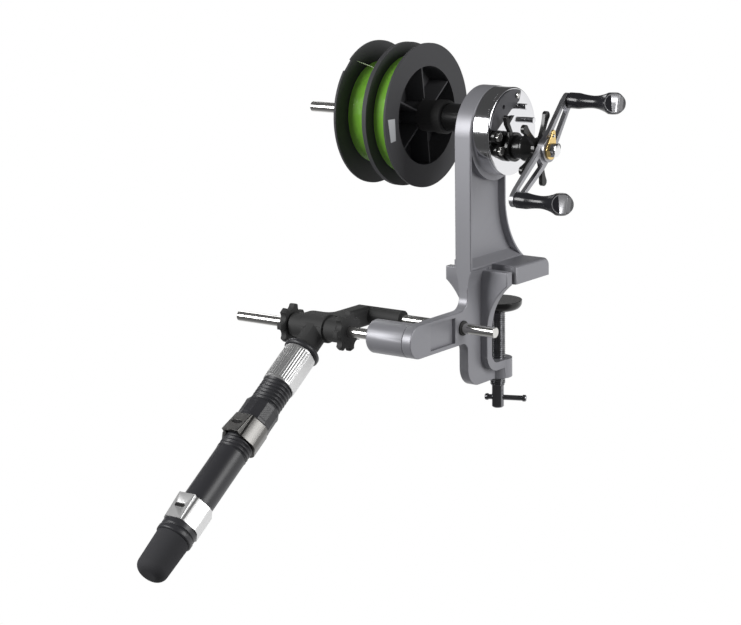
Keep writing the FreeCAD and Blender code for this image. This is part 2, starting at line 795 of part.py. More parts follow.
def make_frame_casting():
    plate, web_room = make_post()
    boss = cylinder("clamp_boss", clamp_boss_radius, clamp_boss_height, STRAIGHT, 0, 0, spine_foot)
    arm_end = turned(
        "arm_boss",
        [
            (0, 0),
            (0, arm_radius - arm_boss_round),
            (arm_boss_round, arm_radius, arm_boss_round, "right"),
            (arm_boss_length, arm_radius),
            (arm_boss_length, 0),
        ],
        STRAIGHT, -spine_face - arm_boss_length, front_rod_y, rod_z,
    )
    nose = cylinder("nose", nose_radius, nose_length + 1, FACING_X, nose_end, spindle_y, spindle_z)
    solids = [plate, make_spine(), make_jaw(), boss, arm_end, nose] + make_neck() + make_back()
    whole = fuse("casting_blank", solids)
    pocket_z = rod_z - arm_pocket_height / 2
    pocket_y = post_front - arm_pocket_offset - arm_pocket_length
    pocket = box("arm_pocket", arm_pocket_depth + 1, arm_pocket_length, arm_pocket_height,
                 spine_face - arm_pocket_depth, pocket_y, pocket_z)
    bearing_x = post_face - bearing_width
    bores = [
        web_room,
        pocket,
        cylinder("spindle_bore", spindle_bore_radius, nose_length + post_thickness, FACING_X,
                 nose_end, spindle_y, spindle_z),
        cylinder("nose_seat", bearing_radius, bearing_width, FACING_X, nose_end, spindle_y, spindle_z),
        cylinder("head_seat", bearing_radius, bearing_width, FACING_X, bearing_x, spindle_y, spindle_z),
        cylinder("bush_seat", bush_radius, bush_length, FACING_X, post_face - bush_length,
                 crank_y, crank_z),
        cylinder("front_rod_hole", rod_radius, front_rod_seat, FACING_X,
                 -spine_face - arm_boss_length, front_rod_y, rod_z),
        cylinder("rear_rod_hole", rod_bush_radius, spine_thickness, FACING_X,
                 -spine_face, rear_rod_y, rod_z),
        cylinder("screw_hole", screw_radius + running_gap, clamp_boss_height, STRAIGHT, 0, 0, spine_foot),
    ]
    node("frame_casting", cut("frame_casting", whole, bores))


# Rods, bearings and bushes
def make_rods_and_bearings():
    front_start = -front_rod_left
    front_end = -spine_face - arm_boss_length + front_rod_seat
    rod_outline = chamfered_rod(rod_radius, front_end - front_start)
    node("front_rod", turned("front_rod", rod_outline, STRAIGHT, front_start, front_rod_y, rod_z))
    rear_outline = chamfered_rod(rod_radius, rear_rod_right + rear_rod_left)
    node("rear_rod", turned("rear_rod", rear_outline, STRAIGHT, -rear_rod_left, rear_rod_y, rod_z))
    node("rod_bush", ring("rod_bush", rod_radius + running_gap, rod_bush_radius,
                          spine_thickness + rod_bush_proud, STRAIGHT, -spine_face, rear_rod_y, rod_z))
    bore = spindle_radius + running_gap
    node("nose_bearing", ring("nose_bearing", bore, bearing_radius, bearing_width, STRAIGHT,
                              nose_end, spindle_y, spindle_z))
    node("head_bearing", ring("head_bearing", bore, bearing_radius, bearing_width, STRAIGHT,
                              post_face - bearing_width, spindle_y, spindle_z))
    shaft_bore = crank_shaft_radius + running_gap
    node("inner_crank_bush", ring("inner_crank_bush", shaft_bore, bush_radius, bush_length, STRAIGHT,
                                  post_face - bush_length, crank_y, crank_z))
    node("outer_crank_bush", ring("outer_crank_bush", shaft_bore, sleeve_bore_radius, bush_length,
                                  STRAIGHT, sleeve_end - bush_length, crank_y, crank_z))


def chamfered_rod(radius, length):
    """The outline of a plain rod with a small chamfer at each end."""
    chamfer = radius / 8
    return [
        (0, 0),
        (0, radius - chamfer),
        (chamfer, radius),
        (length - chamfer, radius),
        (length, radius - chamfer),
        (length, 0),
    ]


# Gearbox
def gear_shape(teeth, width, bore):
    """A spur gear whose flanks are involutes, centred on its own axis."""
    module = gear_module.value
    pitch_radius = teeth * module / 2
    base_radius = pitch_radius * math.cos(math.radians(pressure_angle.value))
    tip_radius = pitch_radius + module * addendum.value
    root_radius = pitch_radius - module * dedendum.value
    low_radius = max(base_radius, root_radius)
    half_pitch = math.pi / 2 / teeth - backlash.value / 2 / pitch_radius

    def roll(radius):
        turn = math.sqrt(max((radius / base_radius) ** 2 - 1, 0))
        return turn - math.atan(turn)

    half_base = half_pitch + roll(pitch_radius)
    steps = 4
    radii = [low_radius + (tip_radius - low_radius) * k / (steps - 1) for k in range(steps)]
    edges = []
    last_point = None
    first_point = None
    for tooth in range(teeth):
        middle = 2 * math.pi * tooth / teeth
        rising = [point_at(r, middle - half_base + roll(r)) for r in radii]
        falling = [point_at(r, middle + half_base - roll(r)) for r in reversed(radii)]
        foot_in = point_at(root_radius, middle - half_base + roll(low_radius))
        foot_out = point_at(root_radius, middle + half_base - roll(low_radius))
        if last_point is None:
            first_point = foot_in
        else:
            gap_middle = point_at(root_radius, middle - math.pi / teeth)
            edges.append(Part.Arc(last_point, gap_middle, foot_in).toShape())
        if (foot_in - rising[0]).Length > 1e-6:
            edges.append(Part.LineSegment(foot_in, rising[0]).toShape())
        edges.append(flank(rising))
        edges.append(Part.Arc(rising[-1], point_at(tip_radius, middle), falling[0]).toShape())
        edges.append(flank(falling))
        if (falling[-1] - foot_out).Length > 1e-6:
            edges.append(Part.LineSegment(falling[-1], foot_out).toShape())
        last_point = foot_out
    edges.append(Part.Arc(last_point, point_at(root_radius, -math.pi / teeth), first_point).toShape())
    blank = Part.Face(Part.Wire(edges)).extrude(Vector(0, 0, width))
    return blank.cut(Part.makeCylinder(bore, width))


def point_at(radius, angle):
    return Vector(radius * math.cos(angle), radius * math.sin(angle), 0)


def flank(points):
    curve = Part.BSplineCurve()
    curve.interpolate(points)
    return curve.toShape()


def make_gear(name, teeth, bore, spin, y, z):
    gear = doc.addObject("Part::Feature", name)
    gear.Shape = gear_shape(int(teeth.value), gear_width.value, bore.value)
    place(gear, turned_about_x(spin, FACING_X), gear_start, y, z)
    node(name, gear)


def make_gearbox():
    drum_outline = [
        (0, drum_radius - drum_wall),
        (drum_depth, drum_radius - drum_wall),
        (drum_depth, drum_radius),
        (0, drum_radius),
    ]
    node("gearbox_drum", turned("gearbox_drum", drum_outline, STRAIGHT, post_face, head_y, head_height))
    plate_outline = [
        (0, 0),
        (0, drum_radius),
        (plate_thickness - plate_bevel, drum_radius),
        (plate_thickness, drum_radius - plate_bevel),
        (plate_thickness, 0),
    ]
    plate = turned("plate_disc", plate_outline, STRAIGHT, plate_back, head_y, head_height)
    shaft_hole = cylinder("shaft_hole", crank_shaft_radius + face_gap, plate_thickness, FACING_X,
                          plate_back, crank_y, crank_z)
    node("side_plate", cut("side_plate", plate, [shaft_hole]))
    main_direction = 270 - gear_lean
    make_gear("main_gear", main_gear_teeth, crank_shaft_radius, main_direction, crank_y, crank_z)
    pinion_turn = main_direction + 180 / pinion_teeth
    make_gear("pinion", pinion_teeth, pinion_seat_radius, pinion_turn, spindle_y, spindle_z)
    make_cover()
    studs = []
    for name, angle in (("upper_stud", upper_stud_angle), ("lower_stud", lower_stud_angle)):
        y, z = polar(stud_circle, angle)
        outline = chamfered_rod(stud_radius, stud_length)
        studs.append(turned(name, outline, STRAIGHT, plate_front, head_y + y, head_height + z))
    node("plate_studs", group("plate_studs", studs))


def make_cover():
    """The dark plate along the drum's rim, with its screw and its small slot."""
    outline = [
        polar(cover_outer_radius, cover_low_angle) + (cover_outer_radius, "left"),
        polar(cover_low_inner, cover_low_angle),
        polar(cover_middle_inner, cover_middle_angle),
        polar(cover_high_inner, cover_high_angle),
        polar(cover_outer_radius, cover_high_angle),
    ]
    plate = padded("cover_sheet", [outline], cover_thickness, FACING_X, plate_front, head_y, head_height)
    def corner(edge):
        return abs(edge.Vertexes[0].Z - edge.Vertexes[-1].Z) > cover_thickness.value / 2
    soften(plate, "cover_corners", cover_corner, corner)
    slot_y, slot_z = polar(cover_slot_circle, cover_slot_angle)
    slot = cylinder("cover_slot", cover_slot_radius, cover_thickness, FACING_X,
                    plate_front, head_y + slot_y, head_height + slot_z)
    node("cover_plate", cut("cover_plate", plate, [slot]))
    screw_y, screw_z = polar(cover_screw_circle, cover_screw_angle)
    outline = [
        (0, 0),
        (0, screw_head_radius),
        (screw_head_height / 2, screw_head_radius),
        (screw_head_height, screw_head_radius * 0.6),
        (screw_head_height, 0),
    ]
    node("cover_screw", turned("cover_screw", outline, STRAIGHT, plate_front + cover_thickness,
                               head_y + screw_y, head_height + screw_z))


# Drive sleeve and clutch lever
def ear_place(reach, angle):
    y, z = polar(reach, angle)
    return crank_y + y, crank_z + z


EARS = (
    ("upper_ear", upper_ear_reach, upper_ear_angle),
    ("lower_ear", lower_ear_reach, lower_ear_angle),
)


def make_drive_sleeve():
    """The tube that the crank shaft runs in, its bolted flange and the two bolts."""
    solids = [
        cylinder("sleeve_tube", sleeve_radius, sleeve_length, FACING_X, plate_front, crank_y, crank_z),
        cylinder("sleeve_flange", flange_radius, flange_thickness, FACING_X, plate_front, crank_y, crank_z),
    ]
    holes = [cylinder("sleeve_bore", sleeve_bore_radius, sleeve_length, FACING_X,
                      plate_front, crank_y, crank_z)]
    bolts = []
    for name, reach, angle in EARS:
        y, z = ear_place(reach, angle)
        solids.append(cylinder(name, ear_radius, flange_thickness, FACING_X, plate_front, y, z))
        arm_outline = [(0, -ear_radius), (reach, -ear_radius), (reach, ear_radius), (0, ear_radius)]
        solids.append(padded(name + "_arm", [arm_outline], flange_thickness,
                             turned_about_x(angle, FACING_X), plate_front, crank_y, crank_z))
        holes.append(cylinder(name + "_hole", ear_bolt_radius, flange_thickness, FACING_X,
                              plate_front, y, z))
        head = prism(name + "_head", 6, ear_bolt_width / 2, ear_bolt_height, FACING_X,
                     plate_front + flange_thickness, y, z)
        shank = cylinder(name + "_shank", ear_bolt_radius, flange_thickness + 0.5, FACING_X,
                         plate_front, y, z)
        bolts.append(fuse(name + "_bolt", [head, shank]))
    blank = fuse("sleeve_blank", solids)
    node("drive_sleeve", cut("drive_sleeve", blank, holes))
    node("sleeve_bolts", group("sleeve_bolts", bolts))


def make_clutch_lever():
    """A ring round the drive sleeve with an S-shaped finger that ends in a fork."""
    half = lever_width / 2
    far = lever_offset + lever_sway
    near = lever_offset - lever_sway
    low = lever_lift * 0.18
    middle = lever_lift * 0.5
    high = lever_lift * 0.78
    outline = [
        (-far - half, low - half * 2),
        (-far + half, low - half * 2),
        (-near + half, middle),
        (-far + half * 1.4, high),
        (-near + half * 2.4, lever_lift),
        (-near, lever_lift),
        (-far + half, high + half * 1.6),
        (-far - half * 0.4, lever_lift + half * 0.6),
        (-far - half * 1.7, lever_lift - half * 0.2),
        (-far - half, high - half * 0.4),
        (-near - half, middle),
    ]
    x = plate_front + lever_inset
    finger = padded("lever_finger", [outline], lever_thickness, FACING_X, x, crank_y, crank_z)
    hoop = cylinder("lever_hoop", lever_ring_radius, lever_thickness, FACING_X, x, crank_y, crank_z)
    hole = cylinder("lever_hole", sleeve_radius + running_gap, lever_thickness, FACING_X,
                    x, crank_y, crank_z)
    node("clutch_lever", cut("clutch_lever", fuse("lever_blank", [finger, hoop]), [hole]))


# Spindle and spools
def make_spindle():
    shaft_end = post_face + face_gap
    tail_end = gear_start + gear_width + spindle_tail
    left = -spindle_left
    chamfer = spindle_radius / 8
    groove_right = left_spool_start - cone_length
    groove_left = groove_right - groove_width
    outline = [
        (left, 0),
        (left, spindle_radius - chamfer),
        (left + chamfer, spindle_radius),
        (groove_left, spindle_radius),
        (groove_left, spindle_radius - groove_depth),
        (groove_right, spindle_radius - groove_depth),
        (groove_right, spindle_radius),
        (shaft_end, spindle_radius),
        (shaft_end, pinion_seat_radius),
        (tail_end, pinion_seat_radius),
        (tail_end, 0),
    ]
    node("spindle_shaft", turned("spindle_shaft", outline, STRAIGHT, 0, spindle_y, spindle_z))
    step = collar_length * 0.36
    collar_outline = [
        (0, spindle_radius),
        (0, collar_radius - collar_step),
        (collar_length - step, collar_radius - collar_step),
        (collar_length - step, collar_radius),
        (collar_length - collar_step, collar_radius),
        (collar_length, collar_radius - collar_step),
        (collar_length, spindle_radius),
    ]
    node("drive_collar", turned("drive_collar", collar_outline, STRAIGHT, collar_left, spindle_y, spindle_z))
    cone_left = left_spool_start - cone_length
    cone_neck = spindle_radius + cone_wall
    cone_outline = [
        (0, spindle_radius),
        (0, cone_neck),
        (cone_length / 2, cone_neck),
        (cone_length, cone_radius),
        (cone_length, spindle_radius),
    ]
    cone = turned("cone_blank", cone_outline, STRAIGHT, cone_left, spindle_y, spindle_z)
    screw_x = cone_left + cone_length / 4
    hole = cylinder("cone_hole", cone_screw_radius, cone_neck + 1, STRAIGHT, screw_x, spindle_y, spindle_z)
    node("retaining_cone", cut("retaining_cone", cone, [hole]))
    grip_outline = [
        (spindle_radius, 0),
        (spindle_radius, cone_screw_radius),
        (cone_neck + 1, cone_screw_radius),
        (cone_neck + 1, cone_screw_radius * 2),
        (cone_neck + cone_grip, cone_screw_radius * 2),
        (cone_neck + cone_grip, 0),
    ]
    node("cone_screw", turned("cone_screw", grip_outline, RISING, screw_x, spindle_y, spindle_z))


def make_spool(name, start, width, opening_radius):
    """A spool: two thin flanges, a barrel, a hub, a web at the left and flat spokes."""
    barrel = opening_radius + barrel_wall
    inner = width - flange_disc_thickness
    outline = [
        (0, spindle_radius),
        (width - hub_inset, spindle_radius),
        (width - hub_inset, spool_hub_radius),
        (spool_web, spool_hub_radius),
        (spool_web, opening_radius),
        (width, opening_radius),
        (width, flange_disc_radius),
        (inner, flange_disc_radius),
        (inner, barrel),
        (flange_disc_thickness, barrel),
        (flange_disc_thickness, flange_disc_radius),
        (0, flange_disc_radius),
    ]
    pieces = [turned(name + "_blank", outline, STRAIGHT, start, spindle_y, spindle_z)]
    reach = opening_radius + barrel_wall / 2
    half = spoke_thickness / 2
    bars = int(spoke_count.value) // 2
    for index in range(bars):
        bar_outline = [(-reach, -half), (reach, -half), (reach, half), (-reach, half)]
        angle = spoke_lean + 90 + 180 / bars * index
        length = width - spool_web / 2 - spoke_inset
        pieces.append(padded(f"{name}_spokes_{index}", [bar_outline], length,
                             turned_about_x(angle, FACING_X), start + spool_web / 2, spindle_y, spindle_z))
    blank = fuse(name + "_whole", pieces)
    bore = cylinder(name + "_bore", spindle_radius, width, FACING_X, start, spindle_y, spindle_z)
    recess = cylinder(name + "_recess", collar_radius + face_gap, hub_inset, FACING_X,
                      start + width - hub_inset, spindle_y, spindle_z)
    return blank, [bore, recess]


def make_spools():
    blank, bores = make_spool("left_spool", left_spool_start, left_spool_width, left_opening_radius)
    notch_outline = [
        (flange_disc_radius - notch_depth, -notch_width / 2),
        (flange_disc_radius + 1, -notch_width / 2),
        (flange_disc_radius + 1, notch_width / 2),
        (flange_disc_radius - notch_depth, notch_width / 2),
    ]
    notch = padded("rim_notch", [notch_outline], flange_disc_thickness, turned_about_x(notch_angle, FACING_X),
                   left_spool_start, spindle_y, spindle_z)
    node("spool_left", cut("spool_left", blank, bores + [notch]))
    blank, bores = make_spool("right_spool", right_spool_start, right_spool_width, right_opening_radius)
    node("spool_right", cut("spool_right", blank, bores))
    make_line("left", left_spool_start, left_spool_width, left_opening_radius, left_line_radius)
    make_line("right", right_spool_start, right_spool_width, right_opening_radius, right_line_radius)


def make_line(side, start, width, opening_radius, line_radius):
    """The wound line: a core on the barrel and the band that its outer turns fill."""
    inner_start = start + flange_disc_thickness
    length = width - flange_disc_thickness * 2
    band_inner = line_radius - line_turn_radius
    band_outer = line_radius + line_turn_radius
    node(f"line_core_{side}", ring(f"line_core_{side}", opening_radius + barrel_wall, band_inner - line_rest,
                                   length, STRAIGHT, inner_start, spindle_y, spindle_z))
    node(f"line_turns_{side}", ring(f"line_turns_{side}", band_inner, band_outer, length,
                                    STRAIGHT, inner_start, spindle_y, spindle_z))


# Crank
def make_crank():
    shaft_start = post_face - bush_length + face_gap
    shaft_end = nut_front - nut_cap
    shaft_outline = [
        (shaft_start, 0),
        (shaft_start, crank_shaft_radius),
        (shaft_end, crank_shaft_radius),
        (shaft_end, 0),
    ]
    node("crank_shaft", turned("crank_shaft", shaft_outline, STRAIGHT, 0, crank_y, crank_z))
    arm_direction = turned_about_x(crank_angle, FACING_X)
    end = crank_reach
    end_half = crank_end_radius
    waist = crank_waist
    bow_half = waist + 1
    outline = [
        (end, end_half, end_half, "half"),
        (0, waist),
        (-end, end_half),
        (-end, -end_half, end_half, "half"),
        (0, -waist),
        (end, -end_half),
    ]
    inner_end = end - end_half - crank_rib * 0.6
    outer_half = end_half - crank_rib
    inner_half = waist - crank_rib * 1.2
    root_end = crank_hub_radius + crank_rib
    windows = []
    for sign in (1, -1):
        windows.append([
            (root_end * sign, -inner_half * 0.72),
            (inner_end * sign, -outer_half),
            (inner_end * sign, outer_half),
            (root_end * sign, inner_half * 0.72),
        ])
    plan = padded("arm_plan", [outline] + windows, crank_front - crank_end_back, arm_direction,
                  crank_end_back, crank_y, crank_z)
    tip = end + end_half + 1
    flat = end - end_half
    root_flat = crank_hub_radius * 1.4
    web = crank_back + crank_thickness
    bow_outline = [
        (tip, crank_end_back),
        (tip, crank_end_front),
        (flat, crank_end_front),
        (root_flat, web),
        (-root_flat, web),
        (-flat, crank_end_front),
        (-tip, crank_end_front),
        (-tip, crank_end_back),
        (-flat, crank_end_back),
        (-root_flat, crank_back),
        (root_flat, crank_back),
        (flat, crank_end_back),
    ]
    swapped = "create(<<rotation>>; create(<<vector>>; 1; 1; 0); 180)"
    bow = padded("arm_bow", [bow_outline], bow_half * 2, turned_about_x(crank_angle, swapped), 0,
                 crank_y - bow_half * sine(crank_angle), crank_z + bow_half * cosine(crank_angle))
    arm = common("arm_bowed", [plan, bow])
    hub = cylinder("arm_hub", crank_hub_radius, crank_hub_length, FACING_X, crank_back, crank_y, crank_z)
    bores = [cylinder("arm_bore", crank_shaft_radius, crank_hub_length, FACING_X, crank_back, crank_y, crank_z)]
    pins = []
    for side, sign in (("upper", 1), ("lower", -1)):
        y = crank_y + crank_reach * cosine(crank_angle) * sign
        z = crank_z + crank_reach * sine(crank_angle) * sign
        bores.append(cylinder(f"{side}_pin_hole", knob_pin_radius, crank_thickness, FACING_X,
                              crank_end_back, y, z))
        pin_length = crank_thickness + face_gap + knob_length - knob_cap_length - knob_end_wall
        pins.append(cylinder(f"{side}_pin", knob_pin_radius, pin_length, FACING_X, crank_end_back, y, z))
        make_knob(side, y, z)
    node("crank_arm", cut("crank_arm", fuse("arm_blank", [arm, hub]), bores))
    node("knob_pins", group("knob_pins", pins))
    drop_outline = [
        (0, retainer_radius),
        (0, -retainer_radius, retainer_radius, "half"),
        (retainer_tip, -retainer_nose),
        (retainer_tip, retainer_nose, retainer_nose, "half"),
    ]
    drop = padded("retainer_blank", [drop_outline], retainer_thickness,
                  turned_about_x(retainer_angle, FACING_X), crank_front, crank_y, crank_z)
    drop_hole = cylinder("retainer_hole", crank_shaft_radius, retainer_thickness, FACING_X,
                         crank_front, crank_y, crank_z)
    screw_y = crank_y + retainer_tip * 0.82 * cosine(retainer_angle)
    screw_z = crank_z + retainer_tip * 0.82 * sine(retainer_angle)
    node("retainer", cut("retainer", drop, [drop_hole]))
    screw_outline = [
        (0, 0),
        (0, retainer_screw_radius),
        (retainer_screw_radius * 0.6, retainer_screw_radius * 0.7),
        (retainer_screw_radius * 0.6, 0),
    ]
    node("retainer_screw", turned("retainer_screw", screw_outline, STRAIGHT, retainer_front,
                                  screw_y, screw_z))
    hexagon = prism("nut_hexagon", 6, nut_width / 2, nut_height + 1, FACING_X,
                    retainer_front, crank_y, crank_z)
    dome_outline = [
        (0, 0),
        (0, nut_width * 0.58),
        (nut_height * 0.7, nut_width * 0.58),
        (nut_height, nut_width * 0.4, nut_height, "right"),
        (nut_height, 0),
    ]
    dome = turned("nut_dome", dome_outline, STRAIGHT, retainer_front, crank_y, crank_z)
    nut_hole = cylinder("nut_hole", crank_shaft_radius, nut_height - nut_cap, FACING_X,
                        retainer_front, crank_y, crank_z)
    node("crank_nut", cut("crank_nut", common("nut_blank", [hexagon, dome]), [nut_hole]))


def make_knob(side, y, z):
    """A handle knob with a waist, a flattened bulb and a round end cap."""
    length = knob_length - knob_cap_length
    bore = knob_pin_radius + running_gap
    outline = [
        (0, 0),
        (0, knob_base_radius - 0.6),
        (0.6, knob_base_radius),
        (length * 0.2, knob_base_radius),
        (length * 0.48, knob_waist_radius, length * 1.6, "left"),
        (length * 0.8, knob_bulb_radius, length * 0.75, "left"),
        (length, knob_cap_radius + 1, length * 0.22, "right"),
        (length, 0),
    ]
    blank = turned(f"{side}_knob_blank", outline, STRAIGHT, knob_start, y, z)
    slab = box(f"{side}_knob_slab", knob_length, knob_bulb_radius * 4, knob_flat * 2,
               knob_start, y - knob_bulb_radius * 2, z - knob_flat)
    hole = cylinder(f"{side}_knob_bore", bore, length - knob_end_wall + face_gap, FACING_X, knob_start, y, z)
    node(f"{side}_knob", cut(f"{side}_knob", common(f"{side}_knob_body", [blank, slab]), [hole]))
    cap_outline = [
        (0, 0),
        (0, knob_cap_radius),
        (knob_cap_length * 0.6, knob_cap_radius),
        (knob_cap_length, knob_cap_radius * 0.8),
        (knob_cap_length, 0),
    ]
    node(f"{side}_knob_cap", turned(f"{side}_knob_cap", cap_outline, STRAIGHT, knob_start + length, y, z))


def make_star_drag():
    """The star drag wheel and the cone that it presses on."""
    bore = crank_shaft_radius + running_gap
    cone_outline = [
        (0, bore),
        (0, drag_cone_radius - 0.8),
        (0.8, drag_cone_radius),
        (drag_cone_length * 0.25, drag_cone_radius),
        (drag_cone_length, drag_cone_neck),
        (drag_cone_length, bore),
    ]
    node("drag_cone", turned("drag_cone", cone_outline, STRAIGHT, cone_start, crank_y, crank_z))
    pieces = [cylinder("star_hub", star_hub_radius, star_thickness, FACING_X, star_start, crank_y, crank_z)]
    hollows = []
    inner = star_hub_radius * 0.7
    centre = star_reach - petal_tip_radius
    for index in range(int(petal_count.value)):
        angle = star_first_angle + 360 / petal_count * index
        petal_outline = [
            (inner, -petal_neck),
            (star_reach * 0.5, -petal_neck * 0.62, star_reach, "right"),
            (centre, -petal_tip_radius, star_reach, "right"),
            (centre, petal_tip_radius, petal_tip_radius, "half"),
            (star_reach * 0.5, petal_neck * 0.62, star_reach, "right"),
            (inner, petal_neck, star_reach, "right"),
        ]
        pieces.append(padded(f"petal_{index}", [petal_outline], star_thickness,
                             turned_about_x(angle, FACING_X), star_start, crank_y, crank_z))
        hollow_half = petal_tip_radius * 0.5
        hollow_start = centre - petal_tip_radius * 1.6
        hollow_outline = [
            (hollow_start, -hollow_half * 0.7),
            (centre, -hollow_half),
            (centre, hollow_half, hollow_half, "half"),
            (hollow_start, hollow_half * 0.7),
        ]
        hollows.append(padded(f"petal_hollow_{index}", [hollow_outline], petal_hollow,
                              turned_about_x(angle, FACING_X), star_start, crank_y, crank_z))
    hollows.append(cylinder("star_bore", bore, star_thickness, FACING_X, star_start, crank_y, crank_z))
    node("star_drag", cut("star_drag", fuse("star_blank", pieces), hollows))


# Clamp pad, screw and bar
def make_clamp():
    socket_radius = screw_radius + running_gap
    bowl = pad_thickness * 0.75
    pad_outline = [
        (0, socket_radius),
        (0, pad_radius - bowl),
        (bowl, pad_radius, bowl, "right"),
        (pad_thickness, pad_radius),
        (pad_thickness, 0),
        (pad_socket_depth, 0),
        (pad_socket_depth, socket_radius),
    ]
    node("clamp_pad", turned("clamp_pad", pad_outline, RISING, 0, 0, pad_bottom))
    length = screw_end + screw_top
    shank_length = screw_end - shank_start
    chamfer = screw_radius / 6
    screw_outline = [
        (0, 0),
        (0, shank_radius - chamfer),
        (chamfer, shank_radius),
        (shank_length, shank_radius),
        (shank_length, screw_radius),
        (length - chamfer, screw_radius),
        (length, screw_radius - chamfer),
        (length, 0),
    ]
    blank = turned("screw_blank", screw_outline, RISING, 0, 0, -screw_end)
    along = turned_about_z(bar_angle, STRAIGHT)
    across = turned_about_z(bar_angle, FACING_X)
    hole_half = shank_radius + 1
    hole = cylinder("bar_hole", bar_radius + running_gap, hole_half * 2, across,
                    -hole_half * cosine(bar_angle), -hole_half * sine(bar_angle), -bar_height)
    node("clamp_screw", cut("clamp_screw", blank, [hole]))
    start = bar_offset - bar_length / 2
    swell = bar_radius * bar_end_swell
    end = bar_radius * 1.4
    bar_outline = [
        (0, 0),
        (0, bar_radius),
        (end * 0.3, swell),
        (end, swell),
        (end, bar_radius),
        (bar_length - end, bar_radius),
        (bar_length - end, swell),
        (bar_length - end * 0.3, swell),
        (bar_length, bar_radius),
        (bar_length, 0),
    ]
    node("tommy_bar", turned("tommy_bar", bar_outline, along, start * cosine(bar_angle),
                             start * sine(bar_angle), -bar_height))


# Sliding bracket
def make_bracket():
    """The yoke on the front rod, with a link to the rear rod."""
    bridge_front = front_rod_y + knuckle_radius + yoke_gap
    bridge_rear = bridge_front + yoke_depth
    link_left = -rod_boss_left
    link_right = link_left + link_width
    corner = yoke_depth * 0.6
    outline = [
        (left_eye_start, front_rod_y),
        (left_eye_end, front_rod_y),
        (left_eye_end, bridge_front),
        (right_eye_start, bridge_front),
        (right_eye_start, front_rod_y),
        (right_eye_end, front_rod_y),
        (right_eye_end, bridge_rear - corner),
        (right_eye_end - corner, bridge_rear, corner, "left"),
        (link_right + corner, bridge_rear),
        (link_right, bridge_rear + corner, corner, "right"),
        (link_right, rear_rod_y),
        (link_left, rear_rod_y),
        (link_left, bridge_rear + corner),
        (link_left - corner, bridge_rear, corner, "right"),
        (left_eye_start + corner, bridge_rear),
        (left_eye_start, bridge_rear - corner, corner, "left"),
    ]
    plan = padded("yoke_plan", [outline], yoke_height, STRAIGHT, 0, 0, rod_z - yoke_height / 2)
    soften(plan, "yoke_edges", yoke_round, lambda edge: edge.BoundBox.YMax > bridge_rear.value - 0.1
           and (lies_at("z", 0)(edge) or lies_at("z", yoke_height.value)(edge)))
    boss_length = rod_boss_left - rod_boss_right
    solids = [
        plan,
        cylinder("left_eye", eye_radius, eye_width, FACING_X, left_eye_start, front_rod_y, rod_z),
        cylinder("right_eye", eye_radius, eye_width, FACING_X, right_eye_start, front_rod_y, rod_z),
        cylinder("rear_boss", rod_boss_radius, boss_length, FACING_X, link_left, rear_rod_y, rod_z),
    ]
    bores = [
        cylinder("eye_bore", rod_radius + running_gap, right_eye_end - left_eye_start, FACING_X,
                 left_eye_start, front_rod_y, rod_z),
        cylinder("boss_bore", rod_radius, rear_rod_left - rod_boss_right, FACING_X,
                 -rear_rod_left, rear_rod_y, rod_z),
    ]
    node("guide_yoke", cut("guide_yoke", fuse("yoke_blank", solids), bores))


def make_star_knob(name, hub_start, hub_length, disc_start):
    """A star knob: a lobed disc with a short hub that faces its eye."""
    bore = rod_radius + running_gap
    disc = doc_disc(name + "_disc", disc_start)
    hub = cylinder(name + "_hub", star_knob_hub, hub_length, FACING_X, hub_start, front_rod_y, rod_z)
    cuts = [cylinder(name + "_bore", bore, hub_length + star_knob_thickness, FACING_X,
                     min_start(hub_start, disc_start), front_rod_y, rod_z)]
    for index in range(int(star_knob_lobes.value)):
        angle = 360 / star_knob_lobes * index
        y, z = polar(star_knob_radius + scallop_radius * 0.15, angle)
        cuts.append(cylinder(f"{name}_scallop_{index}", scallop_radius, star_knob_thickness, FACING_X,
                             disc_start, front_rod_y + y, rod_z + z))
    node(name, cut(name, fuse(name + "_blank", [disc, hub]), cuts))


def doc_disc(name, start):
    """A disc with softened rims."""
    soft = star_knob_thickness * 0.16
    outline = [
        (0, 0),
        (0, star_knob_radius - soft),
        (soft, star_knob_radius),
        (star_knob_thickness - soft, star_knob_radius),
        (star_knob_thickness, star_knob_radius - soft),
        (star_knob_thickness, 0),
    ]
    return turned(name, outline, STRAIGHT, start, front_rod_y, rod_z)


def min_start(first, second):
    """The one of two places that lies further left."""
    return first if first.value < second.value else second


def make_star_knobs():
    right_hub = right_eye_end + face_gap
    make_star_knob("right_star_knob", right_hub, star_knob_hub_length, right_hub + star_knob_hub_length)
    left_hub = left_eye_start - face_gap - star_knob_hub_length
    make_star_knob("left_star_knob", left_hub, star_knob_hub_length, left_hub - star_knob_thickness)


# Reel seat
def make_swivel_head():
    knuckle = cylinder("knuckle", knuckle_radius, knuckle_width, FACING_X, knuckle_left, front_rod_y, rod_z)
    leg = cylinder("leg", seat_core_radius, collar_start, FACING_SEAT, -seat_place, front_rod_y, rod_z)
    bore = cylinder("knuckle_bore", rod_radius + running_gap, knuckle_width, FACING_X,
                    knuckle_left, front_rod_y, rod_z)
    node("swivel_head", cut("swivel_head", fuse("swivel_blank", [knuckle, leg]), [bore]))


